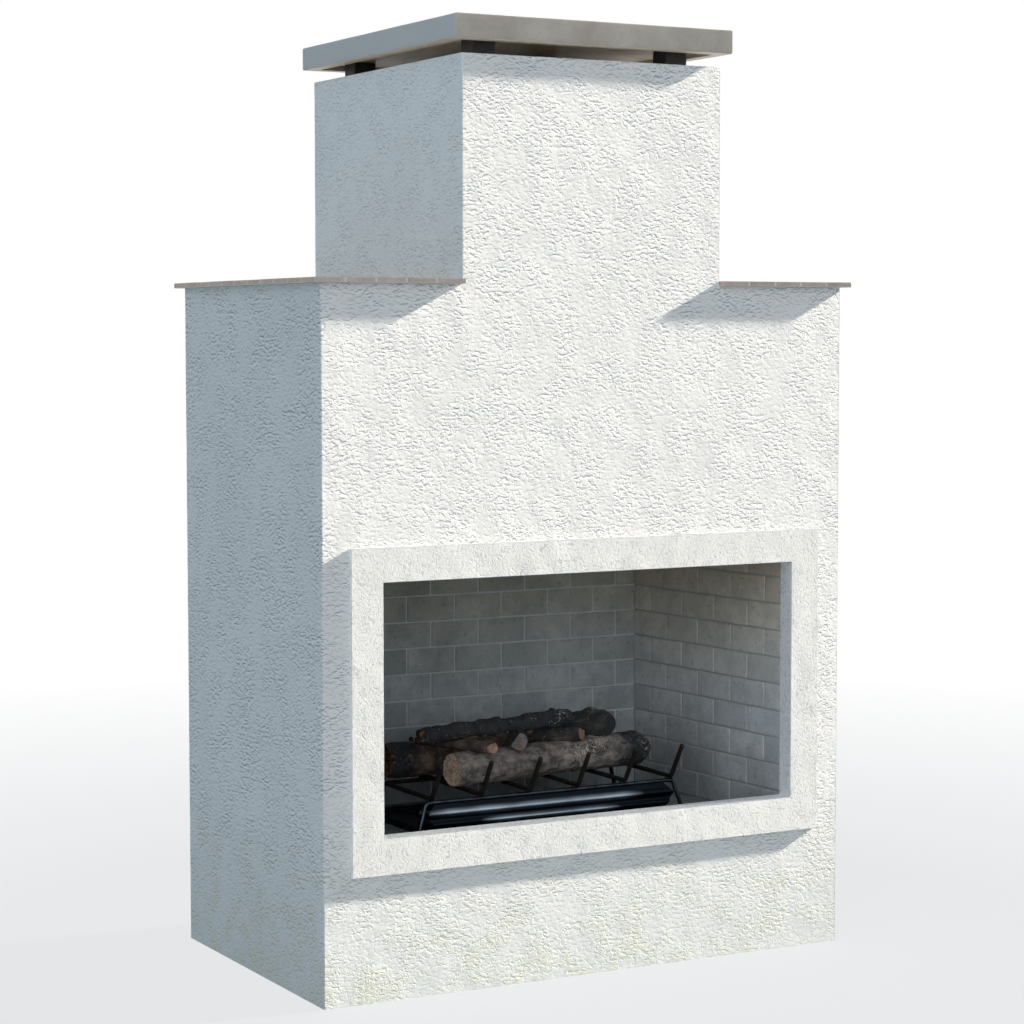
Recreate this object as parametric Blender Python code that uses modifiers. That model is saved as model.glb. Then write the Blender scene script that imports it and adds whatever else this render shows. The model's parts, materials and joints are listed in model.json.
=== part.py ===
"""Free-standing outdoor fireplace: stuccoed body and chimney, brick firebox, grate and log set.

Metres, +Z up. The origin is the middle of the body's footprint on the ground, and the opening faces -Y.
Touching pieces are kept apart by one small named gap.
"""

import math

import bmesh
import bpy
from mathutils import Matrix, Vector

# Fits and cutting
gap = 0.0003
cut_overrun = 0.01
merge_distance = 0.00001
round_steps = 24

# Body and chimney, measured over the stucco
body_width = 1.219
body_depth = 0.7
shoulder_height = 1.415
chimney_width = 0.604
chimney_rise = 0.452

# Wall build-up, from the outside in
stucco_thickness = 0.006
board_thickness = 0.0127
tube_size = 0.0254
tube_wall = 0.002

# Ledge tiles on the two shoulders, set in a mortar bed
tile_thickness = 0.0107
tile_groove = 0.002
tile_pitch = 0.0657
tile_joint = 0.003
ledge_side_overhang = 0.018
ledge_front_overhang = 0.016

# Opening and its raised surround: a pier on each side of it, and its sill above the hearth
pier_width = 0.1275
sill_rise = 0.0514
opening_height = 0.505
surround_side_band = 0.0695
surround_top_band = 0.0686
surround_sill_band = 0.0735
surround_projection = 0.01
reveal_depth = 0.0307
lining_thickness = 0.012

# Firebox: its back space runs from the face of the bricks to the back of the body
floor_height = 0.2756
back_space = 0.132
side_splay = 0.0385
course_height = 0.0579
course_count = 10
brick_pitch = 0.1195
brick_joint = 0.0035
brick_thickness = 0.03
brick_relief = 0.012
mortar_recess = 0.003
mortar_edge_inset = 0.001
smallest_brick = 0.012
back_bond_trim = 0.008
side_bond_extra = 0.007
panel_thickness = 0.02
hearth_margin = 0.003
hearth_brick_thickness = 0.03
slab_thickness = 0.025
kerb_thickness = 0.03
kerb_end_clearance = 0.003
beam_count = 4
base_tube_count = 3

# Smoke path
hood_rise = 0.345
hood_skirt = 0.012
hood_sheet = 0.002
collar_height = 0.05
flue_radius = 0.13
flue_wall = 0.003
cover_thickness = 0.006

# Chimney cap on its four spacer posts
post_size = 0.0508
post_inset = 0.0508
cap_clearance = 0.026
cap_thickness = 0.0484
cap_rim = 0.03
cap_recess = 0.012
cap_side_overhang = 0.021
cap_front_overhang = 0.016
cap_edge_round = 0.0015

# Gas burner under the grate, set back by a share of the firebox's depth
pan_width = 0.574
pan_depth = 0.26
pan_rim = 0.014
pan_sheet = 0.0015
pan_setback_share = 0.3538
burner_radius = 0.0125
burner_wall = 0.002
burner_length = 0.46
burner_lift = 0.006
port_radius = 0.002
port_pitch = 0.04
riser_radius = 0.0107
riser_wall = 0.0028
riser_bottom = 0.08

# Grate: its setback and level run are shares of the firebox's depth
bar_count = 6
bar_spacing = 0.116
bar_radius = 0.005
bar_axis_height = 0.0864
bar_run_share = 0.52886
tip_rise = 0.075
tip_reach = 0.0457
bend_radius = 0.012
bend_steps = 3
grate_setback_share = 0.24637
rail_setback = 0.01
rod_radius = 0.0045
rail_end_margin = 0.009
leg_outward = 0.026
leg_forward = 0.01

# Polished strip that hangs under the front rail
guard_sheet = 0.0015
guard_height = 0.063
guard_corner = 0.012
guard_clearance = 0.003
guard_widest_drop = 0.02
guard_taper_slope = 0.7
first_ridge_drop = 0.0155
second_ridge_drop = 0.035
ridge_radius = 0.0065
ridge_steps = 6

# Logs: the seats are cut this deep into each log
seat_depth = 0.004
log_bevel_resolution = 3
front_log_radius = 0.038
rear_log_radius = 0.039
cross_log_left_radius = 0.0142
cross_log_middle_radius = 0.02
short_log_radius = 0.0168
top_log_radius = 0.018
stump_log_radius = 0.029

# Where each log's axis ends, as shares: x of half the grate's width, y of the bars' level run
front_log_shares = ((-0.666, 0.33), (1.139, 0.607))
rear_log_shares = ((-0.946, 0.902), (0.832, 0.875))
cross_log_left_shares = ((-0.412, 0.187), (-0.701, 0.822))
cross_log_middle_shares = ((-0.158, 0.249), (0.149, 0.857))
short_log_shares = ((0.473, 0.428), (0.123, 0.553))
top_log_shares = ((-0.858, 0.508), (0.333, 0.321))
stump_log_shares = ((0.771, 0.446), (0.315, 0.893))

# A log's outline along its axis: place, radius and sideways bend, as shares of its length, radius, radius
straight_log_shares = ((0, 0.93, 0), (0.05, 1, 0), (0.3, 0.96, 0.1), (0.55, 1, 0.06), (0.8, 0.97, -0.06),
                       (0.96, 1, 0), (1, 0.92, 0))
crooked_log_shares = ((0, 0.95, 0), (0.04, 1, 0), (0.25, 0.97, -0.08), (0.5, 0.98, 0.14), (0.75, 1, 0.06),
                      (0.93, 0.96, -0.12), (1, 0.78, -0.16))
stump_outline_shares = ((0, 0.8, 0), (0.12, 1, 0), (0.4, 0.96, 0.08), (0.7, 0.72, 0), (1, 0.62, -0.06))

# Colour, roughness and metallic value of each finish
finishes = {
    "stucco": ((0.88, 0.885, 0.87), 0.9, 0),
    "cement_board": ((0.45, 0.45, 0.43), 0.95, 0),
    "frame_steel": ((0.5, 0.51, 0.52), 0.45, 1),
    "smooth_stucco": ((0.83, 0.81, 0.77), 0.85, 0),
    "stone_tile": ((0.28, 0.255, 0.22), 0.6, 0),
    "cap_stone": ((0.3, 0.27, 0.23), 0.8, 0),
    "black_paint": ((0.012, 0.012, 0.013), 0.6, 0),
    "galvanised_sheet": ((0.55, 0.56, 0.57), 0.4, 1),
    "firebrick": ((0.2, 0.195, 0.18), 0.9, 0),
    "refractory": ((0.32, 0.31, 0.29), 0.95, 0),
    "burner_steel": ((0.3, 0.31, 0.33), 0.3, 1),
    "pipe_steel": ((0.06, 0.06, 0.065), 0.5, 1),
    "grate_steel": ((0.035, 0.03, 0.026), 0.55, 0.6),
    "polished_steel": ((0.06, 0.075, 0.1), 0.15, 1),
    "log_ceramic": ((0.06, 0.048, 0.04), 0.85, 0),
}

# Planes that follow from the sizes above
half_width = body_width / 2
half_depth = body_depth / 2
chimney_half = chimney_width / 2
chimney_top = shoulder_height + chimney_rise
board_face = stucco_thickness + gap
frame_face = board_face + board_thickness + gap
frame_x = half_width - frame_face
frame_y = half_depth - frame_face
chimney_frame_x = chimney_half - frame_face
ledge_top = shoulder_height - gap
rail_top = ledge_top - board_thickness - gap
ledge_frame_bottom = rail_top - tube_size
chimney_board_top = chimney_top - cover_thickness - gap
chimney_frame_bottom = chimney_board_top - tube_size
opening_half = half_width - pier_width
opening_bottom = floor_height + sill_rise
opening_top = opening_bottom + opening_height
wall_front = reveal_depth - half_depth + gap
back_face = half_depth - back_space
firebox_depth = back_face - wall_front
wall_slope = side_splay / firebox_depth
wall_turn = math.atan(wall_slope)
back_half = opening_half - side_splay
wall_top = floor_height + course_count * course_height
header_bottom = wall_top + gap
slab_top = floor_height - hearth_brick_thickness - gap
slab_bottom = slab_top - slab_thickness
beam_bottom = slab_bottom - gap - tube_size
ledger_bottom = beam_bottom - gap - tube_size
hearth_half = opening_half + (brick_thickness + gap + panel_thickness) / math.cos(wall_turn) + hearth_margin
hearth_back = back_face + brick_thickness + gap + panel_thickness + hearth_margin
hood_top = header_bottom + hood_rise
bar_z = floor_height + bar_axis_height
grate_half = bar_spacing * (bar_count - 1) / 2
rail_half = grate_half + rail_end_margin
bar_run = bar_run_share * firebox_depth
grate_front = wall_front + grate_setback_share * firebox_depth
grate_back = grate_front + bar_run
rail_z = bar_z - bar_radius - gap - rod_radius
pan_front = wall_front + pan_setback_share * firebox_depth
pan_back = pan_front + pan_depth
burner_y = (pan_front + pan_back) / 2
burner_z = floor_height + gap + pan_sheet + burner_lift + burner_radius
cap_bottom = chimney_top + gap + cap_clearance + gap
post_height = cap_clearance + cap_recess


def clear_scene():
    """Empty the file, so that the script can be run again."""
    for obj in list(bpy.data.objects):
        bpy.data.objects.remove(obj)


def new_collection(name, hidden=False):
    home = bpy.data.collections.new(name)
    home.hide_render = hidden
    bpy.context.scene.collection.children.link(home)
    return home


def finish_material(node, finish):
    """A material of the node's own, in one of the named finishes."""
    colour, roughness, metallic = finishes[finish]
    paint = bpy.data.materials.new(node)
    paint.use_nodes = True
    shader = paint.node_tree.nodes["Principled BSDF"]
    shader.inputs["Base Color"].default_value = (*colour, 1)
    shader.inputs["Roughness"].default_value = roughness
    shader.inputs["Metallic"].default_value = metallic
    return paint


def place(name, data, finish, location=(0, 0, 0), rotation=(0, 0, 0)):
    """Put a finished mesh or curve in the fireplace's collection."""
    obj = bpy.data.objects.new(name, data)
    obj.location = location
    obj.rotation_euler = rotation
    data.materials.append(finish_material(name, finish))
    parts.objects.link(obj)
    return obj


def to_mesh(name, bm):
    mesh = bpy.data.meshes.new(name)
    bm.to_mesh(mesh)
    bm.free()
    return mesh


def add_box(bm, low, high):
    """Add a box between two corners to a bmesh, and return its vertices."""
    low = Vector(low)
    high = Vector(high)
    matrix = Matrix.LocRotScale((low + high) / 2, None, high - low)
    return bmesh.ops.create_cube(bm, size=1, matrix=matrix)["verts"]


def block(name, low, high, finish):
    """One box-shaped piece, with its origin at its middle."""
    middle = (Vector(low) + Vector(high)) / 2
    bm = bmesh.new()
    add_box(bm, Vector(low) - middle, Vector(high) - middle)
    return place(name, to_mesh(name, bm), finish, middle)


def box_group(name, boxes, finish, location=(0, 0, 0), rotation=(0, 0, 0)):
    """Several boxes of one kind in one node."""
    bm = bmesh.new()
    for low, high in boxes:
        add_box(bm, low, high)
    return place(name, to_mesh(name, bm), finish, location, rotation)


def tube_frame(name, members, open_axis):
    """A welded frame of square tube: its tubes along one axis are open at their upper or rear end."""
    void = bmesh.new()
    for low, high in members:
        low = Vector(low)
        high = Vector(high)
        sides = high - low
        along = max(range(3), key=lambda axis: sides[axis])
        inner_low = low + Vector((tube_wall, tube_wall, tube_wall))
        inner_high = high - Vector((tube_wall, tube_wall, tube_wall))
        if along == open_axis:
            inner_high[along] = high[along] + cut_overrun
        add_box(void, inner_low, inner_high)
    frame = box_group(name, members, "frame_steel")
    tool = set_aside(bpy.data.objects.new(f"{name}_void", to_mesh(f"{name}_void", void)))
    combine(frame, tool, overlapping=True)
    return frame


def upright_plate(name, outlines, front, thickness, finish):
    """A sheet that stands in the XZ plane: the first outline is its edge, the others are holes."""
    curve = bpy.data.curves.new(name, "CURVE")
    curve.dimensions = "2D"
    curve.fill_mode = "BOTH"
    curve.extrude = thickness / 2
    for outline in outlines:
        spline = curve.splines.new("POLY")
        spline.points.add(len(outline) - 1)
        spline.use_cyclic_u = True
        for point, (x, z) in zip(spline.points, outline):
            point.co = (x, z, 0, 1)
    return place(name, curve, finish, (0, front + thickness / 2, 0), (math.pi / 2, 0, 0))


def rectangle(half, bottom, top):
    return [(-half, bottom), (half, bottom), (half, top), (-half, top)]


def body_outline(half, neck_half, shoulder, top):
    """The outline of the body with its chimney, from the ground up."""
    right = [(half, 0), (half, shoulder), (neck_half, shoulder), (neck_half, top)]
    return right + [(-x, z) for x, z in reversed(right)]


def set_aside(obj):
    """Make an object a cutter: shown as a wire, and left out of renders."""
    obj.hide_render = True
    obj.display_type = "WIRE"
    cutters.objects.link(obj)
    return obj


def box_cutter(name, low, high):
    bm = bmesh.new()
    add_box(bm, low, high)
    return set_aside(bpy.data.objects.new(name, to_mesh(name, bm)))


def round_cutter(name, radius, low, high):
    """An upright or level cylinder between two points."""
    low = Vector(low)
    high = Vector(high)
    turn = (high - low).to_track_quat("Z", "Y").to_matrix().to_4x4()
    bm = bmesh.new()
    bmesh.ops.create_cone(bm, cap_ends=True, segments=round_steps, radius1=radius, radius2=radius,
                          depth=(high - low).length, matrix=Matrix.Translation((low + high) / 2) @ turn)
    return set_aside(bpy.data.objects.new(name, to_mesh(name, bm)))


def combine(target, tool, operation="DIFFERENCE", overlapping=False):
    """Cut or join with another object. Shapes that overlap inside either of them are made one."""
    step = target.modifiers.new(tool.name, "BOOLEAN")
    step.operation = operation
    step.solver = "EXACT"
    step.use_self = overlapping
    step.object = tool


def turned(name, profile, finish, location):
    """A ring turned about the upright axis from a closed profile of (radius, height) points."""
    bm = bmesh.new()
    corners = [bm.verts.new((radius, 0, height)) for radius, height in profile]
    for first, second in zip(corners, corners[1:] + corners[:1]):
        bm.edges.new((first, second))
    ring = place(name, to_mesh(name, bm), finish, location)
    screw = ring.modifiers.new("turn", "SCREW")
    screw.axis = "Z"
    screw.steps = round_steps
    screw.render_steps = round_steps
    screw.use_merge_vertices = True
    screw.merge_threshold = merge_distance
    return ring


def pipe_profile(radius, wall, low, high):
    return [(radius, high), (radius, low), (radius - wall, low), (radius - wall, high)]


def bent(corners, radius):
    """A run of points through the corners, with each inner corner replaced by an arc."""
    points = [corners[0]]
    for before, corner, after in zip(corners, corners[1:], corners[2:]):
        back = (before - corner).normalized()
        ahead = (after - corner).normalized()
        half_angle = back.angle(ahead) / 2
        reach = radius / math.tan(half_angle)
        centre = corner + (back + ahead).normalized() * radius / math.sin(half_angle)
        start = corner + back * reach - centre
        end = corner + ahead * reach - centre
        sweep = start.angle(end)
        for step in range(bend_steps + 1):
            turn = sweep * step / bend_steps
            arm = (start * math.sin(sweep - turn) + end * math.sin(turn)) / math.sin(sweep)
            points.append(centre + arm)
    points.append(corners[-1])
    return points


def rod_curve(name, run, radius, resolution=2, radius_shares=None):
    """Round bar along a run of points, with closed ends."""
    curve = bpy.data.curves.new(name, "CURVE")
    curve.dimensions = "3D"
    curve.bevel_depth = radius
    curve.bevel_resolution = resolution
    curve.use_fill_caps = True
    spline = curve.splines.new("POLY")
    spline.points.add(len(run) - 1)
    for number, (point, position) in enumerate(zip(spline.points, run)):
        point.co = (*position, 1)
        point.radius = radius_shares[number] if radius_shares else 1
    return curve


def stucco_and_boards():
    """The cement board walls and the stucco coat over them."""
    hole = rectangle(opening_half + lining_thickness + gap, opening_bottom - lining_thickness - gap,
                     opening_top + lining_thickness + gap)
    coat = body_outline(half_width, chimney_half, ledge_top, chimney_top)
    sheet = body_outline(half_width - board_face, chimney_half - board_face, ledge_top, chimney_board_top)
    upright_plate("stucco_front", [coat, hole], -half_depth, stucco_thickness, "stucco")
    upright_plate("stucco_back", [coat], half_depth - stucco_thickness, stucco_thickness, "stucco")
    upright_plate("board_front", [sheet, hole], board_face - half_depth, board_thickness, "cement_board")
    upright_plate("board_back", [sheet], half_depth - board_face - board_thickness, board_thickness,
                  "cement_board")
    coat_y = half_depth - board_face
    board_y = frame_y
    for side, sign in (("left", -1), ("right", 1)):
        walls = (
            (f"stucco_{side}", half_width - stucco_thickness, half_width, coat_y, 0, ledge_top, "stucco"),
            (f"board_{side}", frame_x + gap, half_width - board_face, board_y, 0, rail_top, "cement_board"),
            (f"board_ledge_{side}", chimney_frame_x + gap, half_width - board_face, board_y,
             ledge_top - board_thickness, ledge_top, "cement_board"),
            (f"board_chimney_{side}", chimney_frame_x + gap, chimney_half - board_face, board_y,
             shoulder_height, chimney_board_top, "cement_board"),
            (f"stucco_chimney_{side}", chimney_half - stucco_thickness, chimney_half, coat_y,
             shoulder_height, chimney_top, "stucco"),
        )
        for name, inner, outer, reach, bottom, top, finish in walls:
            near, far = sorted((sign * inner, sign * outer))
            block(name, (near, -reach, bottom), (far, reach, top), finish)


def ledge_tiles():
    """Square tiles in a grid on each shoulder, joined by the mortar bed that they are set in."""
    inner = chimney_half + gap
    outer = half_width + ledge_side_overhang
    reach = half_depth + ledge_front_overhang
    columns = max(1, round((outer - inner) / tile_pitch))
    rows = max(1, round(2 * reach / tile_pitch))
    column_pitch = (outer - inner + tile_joint) / columns
    row_pitch = (2 * reach + tile_joint) / rows
    underside = shoulder_height + tile_groove
    top = shoulder_height + tile_thickness
    for side, sign in (("left", -1), ("right", 1)):
        tiles = []
        for column in range(columns):
            start = inner + column * column_pitch
            near, far = sorted((sign * start, sign * (start + column_pitch - tile_joint)))
            for row in range(rows):
                front = row * row_pitch - reach
                tiles.append(((near, front, underside), (far, front + row_pitch - tile_joint, top)))
        field = box_group(f"ledge_tiles_{side}", tiles, "stone_tile")
        near, far = sorted((sign * (inner + mortar_edge_inset), sign * (outer - mortar_edge_inset)))
        bed = box_cutter(f"tile_bed_{side}", (near, mortar_edge_inset - reach, shoulder_height),
                         (far, reach - mortar_edge_inset, top - tile_groove))
        combine(field, bed, "UNION")


def frame_wall(facing):
    """Uprights and rails behind the front or the back sheet, as pairs of corners."""
    near, far = sorted((facing * frame_y, facing * (frame_y - tube_size)))
    neck_inner = chimney_frame_x - tube_size
    runs = [((-frame_x, near, bottom), (frame_x, far, bottom + tube_size))
            for bottom in (ledger_bottom, header_bottom)]
    uprights = ((frame_x - tube_size, frame_x, tube_size + gap, ledge_frame_bottom - gap),
                (neck_inner, chimney_frame_x, header_bottom, chimney_frame_bottom - gap))
    for start, end, bottom, top in uprights:
        for sign in (-1, 1):
            low_x, high_x = sorted((sign * start, sign * end))
            runs.append(((low_x, near, bottom), (high_x, far, top)))
    return runs


def level_frame(left, right, front, back, bottom, tube_count):
    """A flat ladder: rails along the front and the back edge, and tubes from front to back."""
    runs = [((left, near, bottom), (right, near + tube_size, bottom + tube_size))
            for near in (front, back - tube_size)]
    step = (right - left - tube_size) / (tube_count - 1)
    for number in range(tube_count):
        start = left + number * step
        runs.append(((start, front, bottom), (start + tube_size, back, bottom + tube_size)))
    return runs


def steel_frame():
    """The tube frames that carry the walls, the hearth, the ledges and the chimney."""
    front_to_back, upright = 1, 2
    base = level_frame(-frame_x, frame_x, -frame_y, frame_y, 0, base_tube_count)
    tube_frame("frame_base", base, front_to_back)
    tube_frame("frame_front", frame_wall(-1), upright)
    tube_frame("frame_back", frame_wall(1), upright)
    for side, sign in (("left", -1), ("right", 1)):
        near, far = sorted((sign * (chimney_frame_x + gap), sign * frame_x))
        ledge = level_frame(near, far, -frame_y, frame_y, ledge_frame_bottom, 2)
        tube_frame(f"frame_ledge_{side}", ledge, front_to_back)
    chimney_x = chimney_frame_x
    chimney = level_frame(-chimney_x, chimney_x, -frame_y, frame_y, chimney_frame_bottom, 2)
    tube_frame("frame_chimney", chimney, front_to_back)
    beam_reach = frame_x - tube_size - gap
    beams = level_frame(-beam_reach, beam_reach, -frame_y, frame_y, beam_bottom, beam_count)
    tube_frame("frame_hearth", beams, front_to_back)


def opening_surround():
    """The raised band round the opening, in one piece with the lining of the wall's edge."""
    front = -half_depth - surround_projection
    low = opening_bottom - surround_sill_band
    high = opening_top + surround_top_band
    half = opening_half + surround_side_band
    band = block("opening_surround", (-half, front, low), (half, -half_depth - gap, high), "smooth_stucco")
    lining_half = opening_half + lining_thickness
    lining_front = front + surround_projection / 2
    lining = box_cutter("lining_body", (-lining_half, lining_front, opening_bottom - lining_thickness),
                        (lining_half, wall_front - gap, opening_top + lining_thickness))
    opening = box_cutter("opening_cut", (-opening_half, front - cut_overrun, opening_bottom),
                         (opening_half, wall_front + cut_overrun, opening_top))
    combine(band, lining, "UNION")
    combine(band, opening)


def brick_row(length, first):
    """Start and end of each brick along a row, with the first joint at a given distance."""
    starts = [0]
    joint = first
    while joint < length - smallest_brick:
        starts.append(joint)
        joint += brick_pitch
    ends = [start - brick_joint for start in starts[1:]] + [length]
    return zip(starts, ends)


def brick_wall(name, length, first_odd, first_even, outward, location, rotation):
    """Bricks in mortar, on the wall's own axes: x along it from its back corner, z up."""
    bricks = []
    for course in range(course_count):
        first = first_odd if course % 2 else first_even
        bottom = course * course_height
        near, far = sorted((0, outward * brick_relief))
        for start, end in brick_row(length, first):
            bricks.append(((start, near, bottom), (end, far, bottom + course_height - brick_joint)))
    wall = box_group(name, bricks, "firebrick", location, rotation)
    near, far = sorted((outward * mortar_recess, outward * brick_thickness))
    top = course_count * course_height - brick_joint - mortar_edge_inset
    mortar = box_cutter(f"{name}_mortar", (mortar_edge_inset, near, mortar_edge_inset),
                        (length - mortar_edge_inset, far, top))
    mortar.location = location
    mortar.rotation_euler = rotation
    combine(wall, mortar, "UNION")


def firebox_walls():
    """Brick walls with backing panels: a straight one at the back and two that close in towards it."""
    stand = floor_height + gap
    half_brick = brick_pitch / 2
    back_length = 2 * (back_half - gap)
    brick_wall("bricks_back", back_length, brick_pitch - back_bond_trim, half_brick - back_bond_trim, -1,
               (back_half - gap, back_face, stand), (0, 0, math.pi))
    back_reach = back_half + brick_thickness + panel_thickness
    block("panel_back", (-back_reach, back_face + brick_thickness + gap, stand),
          (back_reach, back_face + brick_thickness + gap + panel_thickness, wall_top), "refractory")
    side_length = (firebox_depth - 2 * gap) / math.cos(wall_turn)
    for side, sign in (("left", -1), ("right", 1)):
        corner = (sign * (opening_half - wall_slope * (firebox_depth - gap)), back_face - gap, stand)
        turn = (0, 0, -math.pi / 2 + sign * wall_turn)
        brick_wall(f"bricks_{side}", side_length, half_brick + side_bond_extra,
                   brick_pitch + side_bond_extra, sign, corner, turn)
        inner = brick_thickness + gap
        near, far = sorted((sign * inner, sign * (inner + panel_thickness)))
        panel = ((0, near, 0), (side_length, far, wall_top - stand))
        box_group(f"panel_{side}", [panel], "refractory", corner, turn)


def hearth():
    """Supporting slab, firebrick floor and the low kerb behind the sill."""
    slab = block("hearth_slab", (-hearth_half, -frame_y, slab_bottom), (hearth_half, hearth_back, slab_top),
                 "refractory")
    floor_bottom = slab_top + gap
    row_length = hearth_back + frame_y
    bricks = []
    for column in range(math.ceil(2 * hearth_half / brick_pitch)):
        left = column * brick_pitch - hearth_half
        right = min(left + brick_pitch - brick_joint, hearth_half)
        first = brick_pitch / 2 if column % 2 else brick_pitch
        for start, end in brick_row(row_length, first):
            bricks.append(((left, start - frame_y, floor_height - brick_relief),
                           (right, end - frame_y, floor_height)))
    floor = box_group("hearth_bricks", bricks, "firebrick")
    bed_half = hearth_half - mortar_edge_inset
    bed = box_cutter("hearth_mortar", (-bed_half, mortar_edge_inset - frame_y, floor_bottom),
                     (bed_half, hearth_back - mortar_edge_inset, floor_height - mortar_recess))
    combine(floor, bed, "UNION")
    kerb_half = opening_half - kerb_end_clearance
    block("hearth_kerb", (-kerb_half, -frame_y, floor_height + gap),
          (kerb_half, kerb_thickness - frame_y, opening_bottom - lining_thickness - gap), "refractory")
    hole = round_cutter("riser_hole", riser_radius + gap, (0, burner_y, slab_bottom - cut_overrun),
                        (0, burner_y, burner_z))
    combine(slab, hole)
    combine(floor, hole)
    return hole


def smoke_hood():
    """Sheet hood from the firebox's top to the round flue, with a skirt below and a collar above."""
    panel_middle = brick_thickness + gap + panel_thickness / 2

    def side_reach(y):
        return opening_half + panel_middle / math.cos(wall_turn) - wall_slope * (y - wall_front)

    front = gap + tube_size - frame_y
    back = back_face + panel_middle
    corners = [(side_reach(back), back), (-side_reach(back), back), (-side_reach(front), front),
               (side_reach(front), front)]
    per_side = round_steps // 4
    outer = flue_radius + gap + hood_sheet
    rings = [[], [], [], []]
    for number in range(round_steps):
        side, step = divmod(number, per_side)
        share = step / per_side
        start = Vector(corners[side])
        end = Vector(corners[(side + 1) % 4])
        angle = math.pi / 4 + 2 * math.pi * number / round_steps
        for ring, height in ((rings[0], header_bottom), (rings[1], header_bottom + hood_skirt)):
            ring.append((*start.lerp(end, share), height))
        for ring, height in ((rings[2], hood_top), (rings[3], hood_top + collar_height)):
            ring.append((outer * math.cos(angle), outer * math.sin(angle), height))
    bm = bmesh.new()
    levels = [[bm.verts.new(point) for point in ring] for ring in rings]
    for lower, upper in zip(levels, levels[1:]):
        for number in range(round_steps):
            after = (number + 1) % round_steps
            bm.faces.new((lower[number], lower[after], upper[after], upper[number]))
    hood = place("smoke_hood", to_mesh("smoke_hood", bm), "galvanised_sheet")
    sheet = hood.modifiers.new("sheet", "SOLIDIFY")
    sheet.thickness = hood_sheet
    sheet.offset = -1
    sheet.use_even_offset = True


def chimney_head():
    """Flue pipe, chimney cover, spacer posts and the cap slab."""
    turned("flue_pipe", pipe_profile(flue_radius, flue_wall, hood_top + gap, chimney_top),
           "galvanised_sheet", (0, 0, 0))
    cover_x = chimney_half - board_face
    cover_y = half_depth - board_face
    underside = chimney_top - cover_thickness
    cover = block("chimney_cover", (-cover_x, -cover_y, underside), (cover_x, cover_y, chimney_top),
                  "cement_board")
    hole = round_cutter("flue_hole", flue_radius + gap, (0, 0, underside - cut_overrun),
                        (0, 0, chimney_top + cut_overrun))
    combine(cover, hole)
    stand = chimney_top + gap
    outer_x = chimney_half - post_inset
    outer_y = half_depth - post_inset
    for depth_name, depth_sign in (("front", -1), ("back", 1)):
        for side, sign in (("left", -1), ("right", 1)):
            near, far = sorted((sign * outer_x, sign * (outer_x - post_size)))
            front, back = sorted((depth_sign * outer_y, depth_sign * (outer_y - post_size)))
            block(f"cap_post_{depth_name}_{side}", (near, front, stand), (far, back, stand + post_height),
                  "black_paint")
    cap_x = chimney_half + cap_side_overhang
    cap_y = half_depth + cap_front_overhang
    cap = block("cap_slab", (-cap_x, -cap_y, cap_bottom), (cap_x, cap_y, cap_bottom + cap_thickness),
                "cap_stone")
    recess = box_cutter("cap_recess", (cap_rim - cap_x, cap_rim - cap_y, cap_bottom - cut_overrun),
                        (cap_x - cap_rim, cap_y - cap_rim, cap_bottom + cap_recess))
    combine(cap, recess)
    edge = cap.modifiers.new("worn edge", "BEVEL")
    edge.width = cap_edge_round
    edge.segments = 1


def gas_burner(hole):
    """Tray, drilled burner tube and the riser that feeds it through the hearth."""
    bm = bmesh.new()
    bottom = floor_height + gap
    corners = add_box(bm, (-pan_width / 2, pan_front, bottom), (pan_width / 2, pan_back, bottom + pan_rim))
    bm.normal_update()
    lids = {face for corner in corners for face in corner.link_faces if face.normal.z > abs(face.normal.x)
            and face.normal.z > abs(face.normal.y)}
    bmesh.ops.delete(bm, geom=list(lids), context="FACES_ONLY")
    pan = place("burner_pan", to_mesh("burner_pan", bm), "burner_steel")
    sheet = pan.modifiers.new("sheet", "SOLIDIFY")
    sheet.thickness = pan_sheet
    sheet.offset = -1
    sheet.use_even_offset = True
    combine(pan, hole)

    tube = bmesh.new()
    turn = Matrix.Rotation(math.pi / 2, 4, "Y")
    bmesh.ops.create_cone(tube, cap_ends=True, segments=round_steps // 2, radius1=burner_radius,
                          radius2=burner_radius, depth=burner_length, matrix=turn)
    burner = place("burner_tube", to_mesh("burner_tube", tube), "burner_steel", (0, burner_y, burner_z))
    inner = burner_length / 2 - burner_wall
    bore = round_cutter("burner_bore", burner_radius - burner_wall, (-inner, burner_y, burner_z),
                        (inner, burner_y, burner_z))
    below_tube = burner_z - 2 * burner_radius
    inlet = round_cutter("burner_inlet", riser_radius - riser_wall, (0, burner_y, below_tube),
                         (0, burner_y, burner_z))
    combine(burner, bore)
    combine(burner, inlet)
    count = int((burner_length - port_pitch) / port_pitch)
    bm = bmesh.new()
    for number in range(count):
        x = (number - (count - 1) / 2) * port_pitch
        bmesh.ops.create_cone(bm, cap_ends=True, segments=round_steps // 4, radius1=port_radius,
                              radius2=port_radius, depth=burner_radius,
                              matrix=Matrix.Translation((x, burner_y, burner_z + burner_radius)))
    ports = set_aside(bpy.data.objects.new("burner_ports", to_mesh("burner_ports", bm)))
    combine(burner, ports)

    top = burner_z - burner_radius - gap
    turned("gas_riser", pipe_profile(riser_radius, riser_wall, riser_bottom, top), "pipe_steel",
           (0, burner_y, 0))


def bar_run_points():
    """The centre line of a grate bar, from its front tip over the level run to its back tip."""
    back = Vector((0, bar_run, 0))
    tip = Vector((0, tip_reach, tip_rise))
    front_tip = Vector((0, -tip_reach, tip_rise))
    return bent([front_tip, Vector((0, 0, 0)), back, back + tip], bend_radius)


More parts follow.
